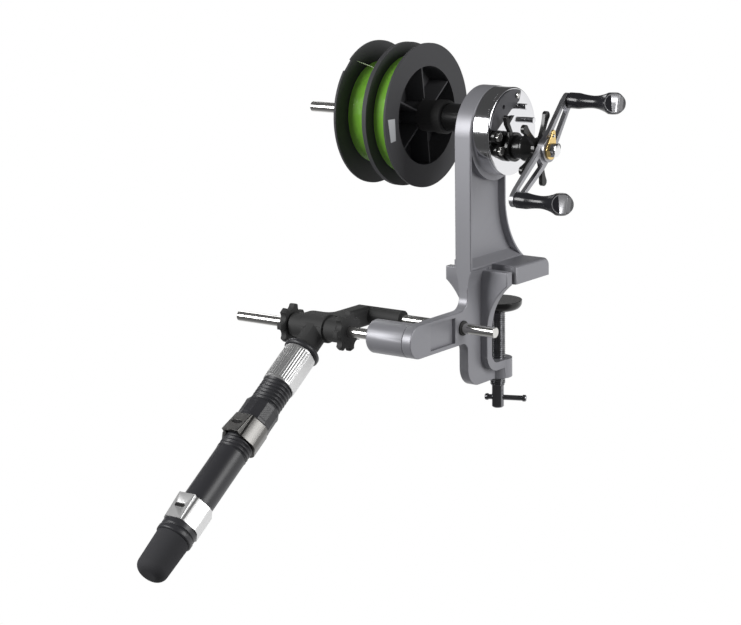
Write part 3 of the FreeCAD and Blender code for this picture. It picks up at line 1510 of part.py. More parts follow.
def make_seat():
    x, y, z = along_seat(0)
    collar_round = (sleeve_start - collar_start) / 4
    collar_outline = [
        (collar_start, seat_core_radius),
        (collar_start, seat_collar_radius - collar_round),
        (collar_start + collar_round, seat_collar_radius),
        (sleeve_start - collar_round, seat_collar_radius),
        (sleeve_start, seat_collar_radius - collar_round),
        (sleeve_start, seat_core_radius),
    ]
    node("seat_collar", turned("seat_collar", collar_outline, ALONG_SEAT, x, y, z))
    tube_outline = [
        (collar_start, seat_bore_radius),
        (collar_start, seat_core_radius),
        (thread_start, seat_core_radius),
        (thread_start, seat_tube_radius),
        (thread_end, seat_tube_radius),
        (thread_end, seat_tube_radius - thread_proud),
        (fixed_hood_start, seat_tube_radius - thread_proud),
        (fixed_hood_start, seat_tube_radius),
        (fixed_hood_end, seat_tube_radius),
        (fixed_hood_end, seat_core_radius),
        (butt_end - butt_wall, seat_core_radius),
        (butt_end - butt_wall, seat_bore_radius),
    ]
    node("seat_tube", turned("seat_tube", tube_outline, ALONG_SEAT, x, y, z))
    sleeve_length_here = thread_start - sleeve_start
    sx, sy, sz = along_seat(sleeve_start)
    sleeve = turned("knurl_blank", [
        (0, seat_core_radius),
        (0, knurl_radius - edge_round),
        (edge_round, knurl_radius),
        (sleeve_length_here - edge_round, knurl_radius),
        (sleeve_length_here, knurl_radius - edge_round),
        (sleeve_length_here, seat_core_radius),
    ], ALONG_SEAT, sx, sy, sz)
    flats = padded("knurl_flats", [[
        (-knurl_flat, -knurl_radius - 1),
        (knurl_flat, -knurl_radius - 1),
        (knurl_flat, knurl_radius + 1),
        (-knurl_flat, knurl_radius + 1),
    ]], sleeve_length_here, FACING_SEAT, sx, sy, sz)
    node("knurled_sleeve", common("knurled_sleeve", [sleeve, flats]))
    make_hood("movable_hood", hood_start, hood_end, running_gap, hood_flat, movable_hood_top)
    make_hood("fixed_hood", fixed_hood_start, fixed_hood_end, 0, fixed_hood_top, hood_flat)
    nx, ny, nz = along_seat(seat_nut_start)
    nut_length = hood_start - face_gap - seat_nut_start
    nut_blank = prism("seat_nut_blank", 12, seat_nut_radius, nut_length, FACING_SEAT, nx, ny, nz)
    nut_bore = cylinder("seat_nut_bore", seat_tube_radius + running_gap, nut_length, FACING_SEAT, nx, ny, nz)
    node("seat_nut", cut("seat_nut", nut_blank, [nut_bore]))
    groove = edge_round
    middle = (fixed_hood_end + ring_end) / 2
    ring_outline = [
        (fixed_hood_end, seat_core_radius),
        (fixed_hood_end, hood_ring_radius + groove / 2),
        (middle - groove, hood_ring_radius + groove / 2),
        (middle, hood_ring_radius - groove / 2),
        (middle + groove, hood_ring_radius + groove),
        (ring_end - groove, hood_ring_radius + groove),
        (ring_end, hood_ring_radius),
        (ring_end, seat_core_radius),
    ]
    node("hood_ring", turned("hood_ring", ring_outline, ALONG_SEAT, x, y, z))
    cap_outline = [
        (ring_end, seat_core_radius),
        (ring_end, butt_radius),
        (butt_end - butt_round, butt_end_radius),
        (butt_end, butt_end_radius - butt_round, butt_round, "right"),
        (butt_end, 0),
        (butt_end - butt_wall, 0),
        (butt_end - butt_wall, seat_core_radius),
    ]
    node("butt_cap", turned("butt_cap", cap_outline, ALONG_SEAT, x, y, z))


def make_hood(name, start, end, gap, first_top, last_top):
    """A faceted hood whose crest rises towards its mouth, over a pocket for a reel's foot."""
    length = end - start
    x, y, z = along_seat(start)
    round_part = cylinder(name + "_round", hood_radius, length, FACING_SEAT, x, y, z)
    facets = prism(name + "_facets", 6, hood_flat, length, FACING_SEAT, x, y, z)
    bore = cylinder(name + "_bore", seat_tube_radius + gap, length, FACING_SEAT, x, y, z)
    crest = padded(name + "_crest", [[
        (0, 0),
        (length, 0),
        (length, last_top),
        (0, first_top),
    ]], hood_crest_width, BESIDE_SEAT, x + hood_crest_width / 2, y, z)
    soften(crest, name + "_crest_edges", edge_round, lambda edge: edge.BoundBox.YMin > 1
           and (lies_at("z", 0)(edge) or lies_at("z", hood_crest_width.value)(edge)))
    low_roof = seat_tube_radius + hood_pocket
    if first_top.value > last_top.value:
        pocket_outline = [
            (-1, 0),
            (length * 0.7, 0),
            (length * 0.7, low_roof),
            (-1, first_top - hood_crest_wall),
        ]
    else:
        pocket_outline = [
            (length * 0.3, 0),
            (length + 1, 0),
            (length + 1, last_top - hood_crest_wall),
            (length * 0.3, low_roof),
        ]
    pocket = padded(name + "_pocket", [pocket_outline], hood_slot_width, BESIDE_SEAT,
                    x + hood_slot_width / 2, y, z)
    mx, my, mz = along_seat(start + length / 2)
    rise = (first_top + last_top) / 2 - hood_mark_depth * 2
    half = hood_mark_length / 2
    wide = hood_mark_width / 2
    mark = padded(name + "_mark", [[
        (half - wide, -wide),
        (half - wide, wide, wide, "half"),
        (wide - half, wide),
        (wide - half, -wide, wide, "half"),
    ]], hood_mark_depth + 2, turned_about_x(seat_angle, STRAIGHT), mx,
        my - rise * sine(seat_angle), mz + rise * cosine(seat_angle))
    blank = fuse(name + "_blank", [common(name + "_round_facets", [round_part, facets]), crest])
    node(name, cut(name, blank, [bore, pocket, mark]))


make_frame_casting()
make_rods_and_bearings()
make_gearbox()
make_drive_sleeve()
make_clutch_lever()
make_spindle()
make_spools()
make_crank()
make_star_drag()
make_clamp()
make_bracket()
make_star_knobs()
make_swivel_head()
make_seat()
doc.recompute()

faults = []
for piece in doc.Objects:
    if "Invalid" in piece.State or "Error" in piece.State:
        faults.append(f"{piece.Name}: {piece.State}")
for name, piece in nodes:
    if piece.Shape.isNull() or not piece.Shape.isValid() or not piece.Shape.Solids:
        faults.append(f"{name}: shape is not a valid solid")
if faults:
    raise RuntimeError("; ".join(faults))

os.makedirs("parts", exist_ok=True)
for name, piece in nodes:
    piece.Shape.exportStep(f"parts/{name}.step")
    print(name, len(piece.Shape.Solids), round(piece.Shape.Volume, 1))
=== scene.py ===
"""Looks of a fishing line winder: finishes, wound line, threads, knurling, trim and the stage."""
import json
import math

import bmesh
import bpy
from mathutils import Matrix, Vector

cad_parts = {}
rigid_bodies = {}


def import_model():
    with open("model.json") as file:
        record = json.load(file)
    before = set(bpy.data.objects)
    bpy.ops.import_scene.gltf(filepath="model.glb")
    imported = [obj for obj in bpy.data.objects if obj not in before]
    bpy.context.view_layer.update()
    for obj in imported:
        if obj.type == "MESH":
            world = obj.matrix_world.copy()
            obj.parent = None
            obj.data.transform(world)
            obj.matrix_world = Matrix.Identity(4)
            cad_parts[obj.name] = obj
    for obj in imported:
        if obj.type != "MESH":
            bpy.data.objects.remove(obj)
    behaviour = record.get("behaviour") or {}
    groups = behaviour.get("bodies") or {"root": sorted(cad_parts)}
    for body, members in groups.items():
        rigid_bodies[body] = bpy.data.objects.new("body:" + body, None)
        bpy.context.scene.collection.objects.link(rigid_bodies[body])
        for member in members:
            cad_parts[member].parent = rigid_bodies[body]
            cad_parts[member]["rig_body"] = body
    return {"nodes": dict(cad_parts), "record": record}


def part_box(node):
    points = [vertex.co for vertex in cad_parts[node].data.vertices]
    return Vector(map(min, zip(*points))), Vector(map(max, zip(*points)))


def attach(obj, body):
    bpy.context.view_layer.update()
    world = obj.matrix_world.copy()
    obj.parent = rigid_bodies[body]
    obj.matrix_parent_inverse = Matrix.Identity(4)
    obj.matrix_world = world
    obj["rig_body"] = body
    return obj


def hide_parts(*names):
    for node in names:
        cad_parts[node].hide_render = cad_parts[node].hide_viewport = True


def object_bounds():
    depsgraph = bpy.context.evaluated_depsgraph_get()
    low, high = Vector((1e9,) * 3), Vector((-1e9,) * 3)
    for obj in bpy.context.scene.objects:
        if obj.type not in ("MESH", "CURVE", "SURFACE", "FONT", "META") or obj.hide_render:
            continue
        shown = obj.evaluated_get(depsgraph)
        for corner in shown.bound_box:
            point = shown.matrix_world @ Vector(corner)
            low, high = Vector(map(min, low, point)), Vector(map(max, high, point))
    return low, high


bl_info = {
    "name": "Line Winder Looks",
    "version": (1, 0, 0),
    "blender": (4, 5, 0),
    "location": "3D View > Sidebar > Line Winder",
    "description": "Dresses the fishing line winder and sets its stage",
    "category": "Object",
}

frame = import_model()
CAD_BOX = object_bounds()
NODES = frame["nodes"]
SLOTS = {part["node"]: part["material_slot"] for part in frame["record"]["subparts"]}
MM = 0.001


def tone(red, green, blue):
    """A screen colour of 0 to 255 as the linear colour that a shader takes."""
    def linear(value):
        share = value / 255
        return share / 12.92 if share <= 0.04045 else ((share + 0.055) / 1.055) ** 2.4
    return linear(red), linear(green), linear(blue)


def colour_setting(title, text, default):
    return bpy.props.FloatVectorProperty(name=title, description=text, subtype="COLOR", size=3,
                                         min=0, max=1, default=default)


def length_setting(title, text, default):
    return bpy.props.FloatProperty(name=title, description=text, subtype="DISTANCE", unit="LENGTH",
                                   min=0, precision=5, default=default * MM)


class WinderColours(bpy.types.PropertyGroup):
    """Colours of the winder's finishes."""
    paint: colour_setting("Frame paint", "Satin grey of the cast frame", tone(84, 85, 87))
    chrome: colour_setting("Chrome", "Mirror plating of the drum and plate", tone(226, 228, 232))
    steel: colour_setting("Steel", "Rods, spindle and small hardware", tone(208, 207, 206))
    dark_steel: colour_setting("Dark steel", "Clamp screw and its bar", tone(76, 75, 74))
    black: colour_setting("Black", "Gloss black of the metal trim", tone(9, 9, 11))
    plastic: colour_setting("Spool plastic", "Moulded plastic of the spools", tone(9, 9, 12))
    # The line's two greens are one green painted lit and painted in shade, mixed in stripes round the spool.
    line_green_painted_lit: colour_setting("Line, lit side", "Light green of the wound line", tone(214, 250, 92))
    line_green_painted_shade: colour_setting("Line, deep side", "Green between the turns", tone(84, 172, 30))
    arm: colour_setting("Crank arm", "Grey skeleton arm of the crank", tone(50, 50, 53))
    gold: colour_setting("Gold", "Drop-shaped nut keeper", tone(196, 122, 44))
    silver: colour_setting("Silver", "Hoods and knurled sleeve", tone(198, 196, 192))
    rubber: colour_setting("Rubber", "Butt cap of the reel seat", tone(12, 15, 20))
    bronze: colour_setting("Bronze", "Bushes", tone(150, 104, 60))
    label: colour_setting("Label", "Blank paper label on the right spool", tone(196, 198, 200))


class WinderSizes(bpy.types.PropertyGroup):
    """Sizes of the winder's fine forms."""
    edge_round: length_setting("Edge round", "Softened edges of the seat's plain pieces", 0.35)
    line_thickness: length_setting("Line thickness", "Diameter of the wound line", 0.5)
    screw_pitch: length_setting("Screw pitch", "Rise of the clamp screw in a turn", 1.5)
    screw_depth: length_setting("Screw thread depth", "Depth of the clamp screw's thread", 0.8)
    seat_pitch: length_setting("Seat thread pitch", "Rise of the reel seat's thread in a turn", 3.1)
    seat_depth: length_setting("Seat thread depth", "Depth of the reel seat's thread", 1.0)
    knurl_pitch: length_setting("Knurl pitch", "Distance between the knurl's lines", 2.0)
    knurl_depth: length_setting("Knurl depth", "Height of the knurl's lines", 0.4)


def settings():
    return bpy.context.scene.winder_sizes


# Shader node groups
def socket(tree, name, kind, way, value=None):
    made = tree.interface.new_socket(name=name, in_out=way, socket_type=kind)
    if value is not None:
        made.default_value = value
    return made


def new_group(name, inputs, outputs):
    """A shader node group with named sockets, and its input and output nodes."""
    tree = bpy.data.node_groups.new(name, "ShaderNodeTree")
    for title, kind, value in inputs:
        socket(tree, title, kind, "INPUT", value)
    for title, kind in outputs:
        socket(tree, title, kind, "OUTPUT")
    return tree, tree.nodes.new("NodeGroupInput"), tree.nodes.new("NodeGroupOutput")


def add_math(tree, operation, first, second):
    made = tree.nodes.new("ShaderNodeMath")
    made.operation = operation
    for place, value in enumerate((first, second)):
        if isinstance(value, (int, float)):
            made.inputs[place].default_value = value
        else:
            tree.links.new(value, made.inputs[place])
    return made.outputs[0]


def grain_group():
    """Fine unevenness of a cast, painted or moulded surface."""
    tree, start, end = new_group(
        "Surface grain",
        [("Vector", "NodeSocketVector", None), ("Scale", "NodeSocketFloat", 900.0),
         ("Spread", "NodeSocketFloat", 0.1)],
        [("Shade", "NodeSocketFloat"), ("Height", "NodeSocketFloat")],
    )
    fine = tree.nodes.new("ShaderNodeTexNoise")
    fine.inputs["Detail"].default_value = 3
    broad = tree.nodes.new("ShaderNodeTexNoise")
    broad.inputs["Scale"].default_value = 38
    tree.links.new(start.outputs["Vector"], fine.inputs["Vector"])
    tree.links.new(start.outputs["Vector"], broad.inputs["Vector"])
    tree.links.new(start.outputs["Scale"], fine.inputs["Scale"])
    both = add_math(tree, "ADD", fine.outputs["Fac"], broad.outputs["Fac"])
    centred = add_math(tree, "SUBTRACT", both, 1.0)
    spread = add_math(tree, "MULTIPLY", centred, start.outputs["Spread"])
    tree.links.new(add_math(tree, "ADD", spread, 1.0), end.inputs["Shade"])
    tree.links.new(fine.outputs["Fac"], end.inputs["Height"])
    return tree


def wear_and_highlight_group():
    """A mask for edges lightened partly as rubbed wear and partly as a painted highlight, broken up by
    noise.
    """
    tree, start, end = new_group(
        "Edge wear and painted highlight",
        [("Vector", "NodeSocketVector", None), ("Amount", "NodeSocketFloat", 0.5)],
        [("Mask", "NodeSocketFloat")],
    )
    form = tree.nodes.new("ShaderNodeNewGeometry")
    edge = tree.nodes.new("ShaderNodeMapRange")
    edge.inputs["From Min"].default_value = 0.52
    edge.inputs["From Max"].default_value = 0.64
    tree.links.new(form.outputs["Pointiness"], edge.inputs["Value"])
    patch = tree.nodes.new("ShaderNodeTexNoise")
    patch.inputs["Scale"].default_value = 130
    tree.links.new(start.outputs["Vector"], patch.inputs["Vector"])
    broken = add_math(tree, "MULTIPLY", edge.outputs["Result"], patch.outputs["Fac"])
    tree.links.new(add_math(tree, "MULTIPLY", broken, start.outputs["Amount"]), end.inputs["Mask"])
    return tree


def brushing_group():
    """Fine lines across a turned or brushed metal surface."""
    tree, start, end = new_group(
        "Fine brushing",
        [("Vector", "NodeSocketVector", None), ("Stretch", "NodeSocketVector", (3000.0, 60.0, 60.0)),
         ("Spread", "NodeSocketFloat", 0.1)],
        [("Shade", "NodeSocketFloat"), ("Height", "NodeSocketFloat")],
    )
    stretched = tree.nodes.new("ShaderNodeVectorMath")
    stretched.operation = "MULTIPLY"
    tree.links.new(start.outputs["Vector"], stretched.inputs[0])
    tree.links.new(start.outputs["Stretch"], stretched.inputs[1])
    lines = tree.nodes.new("ShaderNodeTexNoise")
    lines.inputs["Scale"].default_value = 1
    lines.inputs["Detail"].default_value = 2
    tree.links.new(stretched.outputs["Vector"], lines.inputs["Vector"])
    centred = add_math(tree, "SUBTRACT", lines.outputs["Fac"], 0.5)
    soft = add_math(tree, "MULTIPLY", centred, start.outputs["Spread"])
    tree.links.new(add_math(tree, "ADD", soft, 1.0), end.inputs["Shade"])
    tree.links.new(lines.outputs["Fac"], end.inputs["Height"])
    return tree


def place_group(tree, name, **values):
    made = tree.nodes.new("ShaderNodeGroup")
    made.node_tree = bpy.data.node_groups[name]
    for title, value in values.items():
        made.inputs[title.capitalize()].default_value = value
    return made


# Edges are lightened in colour, partly as rubbed wear and partly as a painted highlight.
RUB_AND_HIGHLIGHT_GAIN = 2.2
RUB_AND_HIGHLIGHT_LIFT = 0.01


def finish(name, colour, roughness, metallic=0.0, coat=0.0, grain=900.0, spread=0.12, height=0.02,
           wear_and_highlight=0.0, brushed=None, specular=0.5):
    """A material with grain or brushing, uneven gloss, and edges lightened as wear and as a painted
    highlight.
    """
    made = bpy.data.materials.new(name)
    made.use_nodes = True
    tree = made.node_tree
    shader = tree.nodes["Principled BSDF"]
    shader.inputs["Metallic"].default_value = metallic
    shader.inputs["Coat Weight"].default_value = coat
    shader.inputs["Coat Roughness"].default_value = 0.12
    shader.inputs["Specular IOR Level"].default_value = specular
    where = tree.nodes.new("ShaderNodeTexCoord").outputs["Object"]
    if brushed:
        surface = place_group(tree, "Fine brushing", stretch=brushed, spread=spread)
    else:
        surface = place_group(tree, "Surface grain", scale=grain, spread=spread)
    tree.links.new(where, surface.inputs["Vector"])
    shaded = tree.nodes.new("ShaderNodeVectorMath")
    shaded.operation = "SCALE"
    shaded.inputs[0].default_value = colour
    tree.links.new(surface.outputs["Shade"], shaded.inputs["Scale"])
    # Painted highlight and wear: the edge mask mixes in a lighter copy of the colour.
    rubbed_and_lit = place_group(tree, "Edge wear and painted highlight", amount=wear_and_highlight)
    tree.links.new(where, rubbed_and_lit.inputs["Vector"])
    blend = tree.nodes.new("ShaderNodeMix")
    blend.data_type = "RGBA"
    blend.inputs["B"].default_value = tuple(min(1, part * RUB_AND_HIGHLIGHT_GAIN + RUB_AND_HIGHLIGHT_LIFT) for part in colour) + (1,)
    tree.links.new(rubbed_and_lit.outputs["Mask"], blend.inputs["Factor"])
    tree.links.new(shaded.outputs["Vector"], blend.inputs["A"])
    tree.links.new(blend.outputs["Result"], shader.inputs["Base Color"])
    gloss = add_math(tree, "MULTIPLY", surface.outputs["Shade"], roughness)
    tree.links.new(gloss, shader.inputs["Roughness"])
    bump = tree.nodes.new("ShaderNodeBump")
    bump.inputs["Strength"].default_value = 0.35
    bump.inputs["Distance"].default_value = height * MM
    tree.links.new(surface.outputs["Height"], bump.inputs["Height"])
    tree.links.new(bump.outputs["Normal"], shader.inputs["Normal"])
    return made


def line_finish(light, deep):
    """Braided line: strands run round the spool, painted light where they lie high and painted deep green
    shade between.
    """
    made = finish("line_green", light, 0.38, spread=0.4, height=0.05, brushed=(1300.0, 26.0, 26.0))
    tree = made.node_tree
    shader = tree.nodes["Principled BSDF"]
    where = tree.nodes.new("ShaderNodeTexCoord").outputs["Object"]
    # Noise stripes round the spool mix the painted highlight and the painted shade of the line's green.
    strands = place_group(tree, "Fine brushing", stretch=(900.0, 34.0, 34.0), spread=1.0)
    tree.links.new(where, strands.inputs["Vector"])
    ramp = tree.nodes.new("ShaderNodeValToRGB")
    ramp.color_ramp.elements[0].position = 0.32
    ramp.color_ramp.elements[0].color = tuple(deep) + (1,)
    ramp.color_ramp.elements[1].position = 0.62
    ramp.color_ramp.elements[1].color = tuple(light) + (1,)
    tree.links.new(strands.outputs["Height"], ramp.inputs["Fac"])
    tree.links.new(ramp.outputs["Color"], shader.inputs["Base Color"])
    shader.inputs["Sheen Weight"].default_value = 0.1
    return made


def finish_for(node):
    return bpy.data.materials[SLOTS[node]]


# Mesh helpers
def seat_frame():
    """The reel seat's own axes from its tilt axis: first down the seat, then X, then up from the seat."""
    lean = math.radians(34.7)
    along = Vector((0, -math.cos(lean), -math.sin(lean)))
    up = Vector((0, -math.sin(lean), math.cos(lean)))
    spot = Vector((-87.5, -108.0, -29.0)) * MM
    return Matrix((
        (along.x, 1, up.x, spot.x),
        (along.y, 0, up.y, spot.y),
        (along.z, 0, up.z, spot.z),
        (0, 0, 0, 1),
    ))


def upright_frame():
    """Axes with the first one up, for what turns about the clamp screw."""
    return Matrix(((0, 1, 0, 0), (0, 0, 1, 0), (1, 0, 0, 0), (0, 0, 0, 1)))


def show(name, mesh, body, slot, *replaced):
    """Put a mesh in the scene as a piece that rides on a body, with its slot's finish if it has none yet."""
    piece = bpy.data.objects.new(name, mesh)
    bpy.context.scene.collection.objects.link(piece)
    if not mesh.materials:
        mesh.materials.append(bpy.data.materials[slot])
    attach(piece, body)
    if replaced:
        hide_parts(*replaced)
    return piece


def closed(shape):
    """Merge doubles and turn every face outwards."""
    bmesh.ops.remove_doubles(shape, verts=shape.verts, dist=0.0005 * MM)
    bmesh.ops.recalc_face_normals(shape, faces=shape.faces)


def smooth_mesh(name, shape, angle=32):
    """A mesh from a bmesh, shaded smooth but for its sharp edges."""
    mesh = bpy.data.meshes.new(name)
    shape.to_mesh(mesh)
    shape.free()
    mesh.shade_smooth()
    mesh.set_sharp_from_angle(angle=math.radians(angle))
    return mesh


def round_body(name, outline, sides, place, relief=None, angle=32):
    """A turned form from (distance, radius) pairs in mm, with an optional relief on its surface."""
    shape = bmesh.new()
    rings = []
    for along, radius in outline:
        loop = []
        for step in range(sides):
            turn = 2 * math.pi * step / sides
            reach = radius + (relief(along, turn) if relief else 0)
            spot = Vector((along, reach * math.cos(turn), reach * math.sin(turn))) * MM
            loop.append(shape.verts.new(place @ spot))
        rings.append(loop)
    for first, second in zip(rings, rings[1:]):
        for step in range(sides):
            after = (step + 1) % sides
            shape.faces.new((first[step], first[after], second[after], second[step]))
    for loop, along in ((rings[0], outline[0][0]), (rings[-1], outline[-1][0])):
        hub = shape.verts.new(place @ (Vector((along, 0, 0)) * MM))
        for step in range(sides):
            shape.faces.new((loop[step], loop[(step + 1) % sides], hub))
    closed(shape)
    return smooth_mesh(name, shape, angle)


def slab(name, below, above):
    """A thin closed plate between two loops of points."""
    shape = bmesh.new()
    rings = [[shape.verts.new(spot) for spot in loop] for loop in (below, above)]
    for ring in rings:
        shape.faces.new(ring)
    for index in range(len(below)):
        after = (index + 1) % len(below)
        shape.faces.new((rings[0][index], rings[0][after], rings[1][after], rings[1][index]))
    closed(shape)
    return smooth_mesh(name, shape)


def merged(node):
    """A copy of a CAD node's mesh with its doubles merged and its flat faces whole."""
    shape = bmesh.new()
    shape.from_mesh(NODES[node].data)
    bmesh.ops.remove_doubles(shape, verts=shape.verts, dist=0.002 * MM)
    bmesh.ops.dissolve_limit(shape, angle_limit=math.radians(0.2), verts=shape.verts, edges=shape.edges)
    return shape


def dressed(node, bevel=None, angle=38, shape=None):
    """A copy of a CAD node, or the shape given for it, smoothed and with softened edges, in its place."""
    mesh = smooth_mesh("look_" + node, shape or merged(node), angle)
    piece = show("look_" + node, mesh, NODES[node]["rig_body"], SLOTS[node], node)
    width = settings().edge_round if bevel is None else bevel * MM
    if width > 0:
        soft = piece.modifiers.new("Softened edges", "BEVEL")
        soft.width = width
        soft.segments = 2
        soft.limit_method = "ANGLE"
        soft.angle_limit = math.radians(angle)
        soft.use_clamp_overlap = True
        soft.harden_normals = True
    return piece


def tint(piece, slot, chosen):
    """Give a second finish to the faces whose centre, in mm, is chosen."""
    piece.data.materials.append(bpy.data.materials[slot])
    last = len(piece.data.materials) - 1
    for face in piece.data.polygons:
        if chosen(face.center / MM):
            face.material_index = last


def steps(first, last, spacing):
    """Evenly spaced places from first to last."""
    count = max(1, round((last - first) / spacing))
    return [first + (last - first) * index / count for index in range(count + 1)]


# Geometry nodes
def coil_tree():
    """A round strand in a helix about its axis, for wound line and for threads."""
    tree = bpy.data.node_groups.new("Coil", "GeometryNodeTree")
    for title, kind, value in (
        ("Turns", "NodeSocketFloat", 10.0), ("Length", "NodeSocketFloat", 0.01),
        ("Radius", "NodeSocketFloat", 0.01), ("Strand Radius", "NodeSocketFloat", 0.0005),
        ("Steps", "NodeSocketInt", 64), ("Sides", "NodeSocketInt", 6),
        ("Turned", "NodeSocketVector", (0.0, 0.0, 0.0)), ("Place", "NodeSocketVector", (0.0, 0.0, 0.0)),
    ):
        socket(tree, title, kind, "INPUT", value)
    socket(tree, "Finish", "NodeSocketMaterial", "INPUT")
    socket(tree, "Geometry", "NodeSocketGeometry", "OUTPUT")
    start = tree.nodes.new("NodeGroupInput")
    end = tree.nodes.new("NodeGroupOutput")
    spiral = tree.nodes.new("GeometryNodeCurveSpiral")
    ring = tree.nodes.new("GeometryNodeCurvePrimitiveCircle")
    sweep = tree.nodes.new("GeometryNodeCurveToMesh")
    moved = tree.nodes.new("GeometryNodeTransform")
    smooth = tree.nodes.new("GeometryNodeSetShadeSmooth")
    solid = tree.nodes.new("GeometryNodeRealizeInstances")
    painted = tree.nodes.new("GeometryNodeSetMaterial")
    sweep.inputs["Fill Caps"].default_value = True
    join = tree.links.new
    join(start.outputs["Steps"], spiral.inputs["Resolution"])
    join(start.outputs["Turns"], spiral.inputs["Rotations"])
    join(start.outputs["Radius"], spiral.inputs["Start Radius"])
    join(start.outputs["Radius"], spiral.inputs["End Radius"])
    join(start.outputs["Length"], spiral.inputs["Height"])
    join(start.outputs["Sides"], ring.inputs["Resolution"])
    join(start.outputs["Strand Radius"], ring.inputs["Radius"])
    join(spiral.outputs["Curve"], sweep.inputs["Curve"])
    join(ring.outputs["Curve"], sweep.inputs["Profile Curve"])
    join(sweep.outputs["Mesh"], moved.inputs["Geometry"])
    join(start.outputs["Turned"], moved.inputs["Rotation"])
    join(start.outputs["Place"], moved.inputs["Translation"])
    join(moved.outputs["Geometry"], smooth.inputs["Geometry"])
    join(smooth.outputs["Geometry"], solid.inputs["Geometry"])
    join(solid.outputs["Geometry"], painted.inputs["Geometry"])
    join(start.outputs["Finish"], painted.inputs["Material"])
    join(painted.outputs["Geometry"], end.inputs["Geometry"])
    return tree


def coil(name, slot, values):
    """The plain mesh of a coil with these input values."""
    holder = bpy.data.objects.new(name + "_holder", bpy.data.meshes.new(name + "_holder"))
    bpy.context.scene.collection.objects.link(holder)
    coiled = holder.modifiers.new("Coil", "NODES")
    coiled.node_group = bpy.data.node_groups["Coil"]
    names = {item.name: item.identifier for item in coiled.node_group.interface.items_tree}
    for title, value in values.items():
        coiled[names[title]] = value
    coiled[names["Finish"]] = bpy.data.materials[slot]
    graph = bpy.context.evaluated_depsgraph_get()
    mesh = bpy.data.meshes.new_from_object(holder.evaluated_get(graph))
    mesh.name = name
    bpy.data.objects.remove(holder)
    return mesh


class PieceOperator:
    """What the winder's operators share."""
    bl_options = {"REGISTER", "UNDO"}


class WINDER_OT_finishes(PieceOperator, bpy.types.Operator):
    """Make every finish of the winder"""
    bl_idname = "winder.finishes"
    bl_label = "Finishes"

    def execute(self, context):
        colours = context.scene.winder_colours
        grain_group()
        wear_and_highlight_group()
        brushing_group()
        finish("frame_paint", colours.paint, 0.42, metallic=0.45, grain=1600, spread=0.14, height=0.02,
               wear_and_highlight=0.5)
        finish("chrome", colours.chrome, 0.05, metallic=1, grain=400, spread=0.05, height=0.001)
        finish("dark_cover", tone(66, 67, 72), 0.22, metallic=0.9, coat=0.3, spread=0.08, height=0.002)
        finish("bright_steel", colours.steel, 0.13, metallic=1, spread=0.05, height=0.0004,
               brushed=(1800.0, 40.0, 40.0))
        finish("black_metal", colours.black, 0.3, grain=1400, height=0.003, wear_and_highlight=0.4, specular=0.15)
        finish("bronze", colours.bronze, 0.3, metallic=1)
        finish("black_plastic", tone(8, 8, 10), 0.38, grain=1800, height=0.01, wear_and_highlight=0.2, specular=0.06)
        finish("spool_plastic", colours.plastic, 0.34, grain=900, height=0.004, wear_and_highlight=0.2, specular=0.3)
        line_finish(colours.line_green_painted_lit, colours.line_green_painted_shade)
        finish("grey_metal", colours.arm, 0.3, metallic=0.7, grain=1400, height=0.006, wear_and_highlight=0.8)
        finish("gold", colours.gold, 0.18, metallic=1, height=0.002)
        finish("polished_nut", tone(236, 234, 226), 0.08, metallic=1, height=0.001)
        finish("knob_black", tone(7, 7, 9), 0.26, height=0.002, wear_and_highlight=0.2, specular=0.25)
        finish("knob_silver", tone(150, 151, 155), 0.24, metallic=0.9, height=0.002)
        finish("dark_steel", colours.dark_steel, 0.28, metallic=0.9, grain=1300, spread=0.3, height=0.006,
               wear_and_highlight=0.6)
        finish("seat_silver", colours.silver, 0.2, metallic=1, grain=1500, spread=0.12, height=0.003)
        finish("hood_grey", tone(112, 111, 109), 0.36, metallic=1, grain=1500, height=0.001)
        finish("seat_black", tone(10, 10, 15), 0.32, grain=1400, height=0.004, wear_and_highlight=0.3, specular=0.1)
        finish("butt_rubber", colours.rubber, 0.4, grain=2200, spread=0.2, height=0.015, specular=0.07)
        finish("line_pale", tone(214, 232, 190), 0.4)
        finish("paper_label", colours.label, 0.6, grain=2600, spread=0.1, height=0.01)
        finish("mark_black", tone(26, 25, 25), 0.5, grain=1800, height=0.01)
        for node, piece in NODES.items():
            piece.data.materials.clear()
            piece.data.materials.append(finish_for(node))
        return {"FINISHED"}


class WINDER_OT_frame(PieceOperator, bpy.types.Operator):
    """Soften the cast frame and its bush, and blacken the frame's nose"""
    bl_idname = "winder.frame"
    bl_label = "Cast frame"

    def execute(self, context):
        nose_side = -7.2
        nose_bottom = 95
        casting = dressed("frame_casting", 0.6)
        tint(casting, "black_metal", lambda spot: spot.x < nose_side and spot.z > nose_bottom)
        dressed("rod_bush", 0.2)
        return {"FINISHED"}


class WINDER_OT_gearbox(PieceOperator, bpy.types.Operator):
    """Dress the chrome gearbox, its cover, sleeve and lever"""
    bl_idname = "winder.gearbox"
    bl_label = "Gearbox"

    def execute(self, context):
        for node in ("gearbox_drum", "side_plate", "cover_plate", "cover_screw", "plate_studs",
                     "drive_sleeve", "sleeve_bolts", "clutch_lever"):
            dressed(node, 0.25)
        return {"FINISHED"}


class WINDER_OT_spindle(PieceOperator, bpy.types.Operator):
    """Dress the spindle and what is fixed on it"""
    bl_idname = "winder.spindle"
    bl_label = "Spindle"

    def execute(self, context):
        for node in ("spindle_shaft", "drive_collar", "retaining_cone", "cone_screw"):
            dressed(node, 0.25)
        return {"FINISHED"}


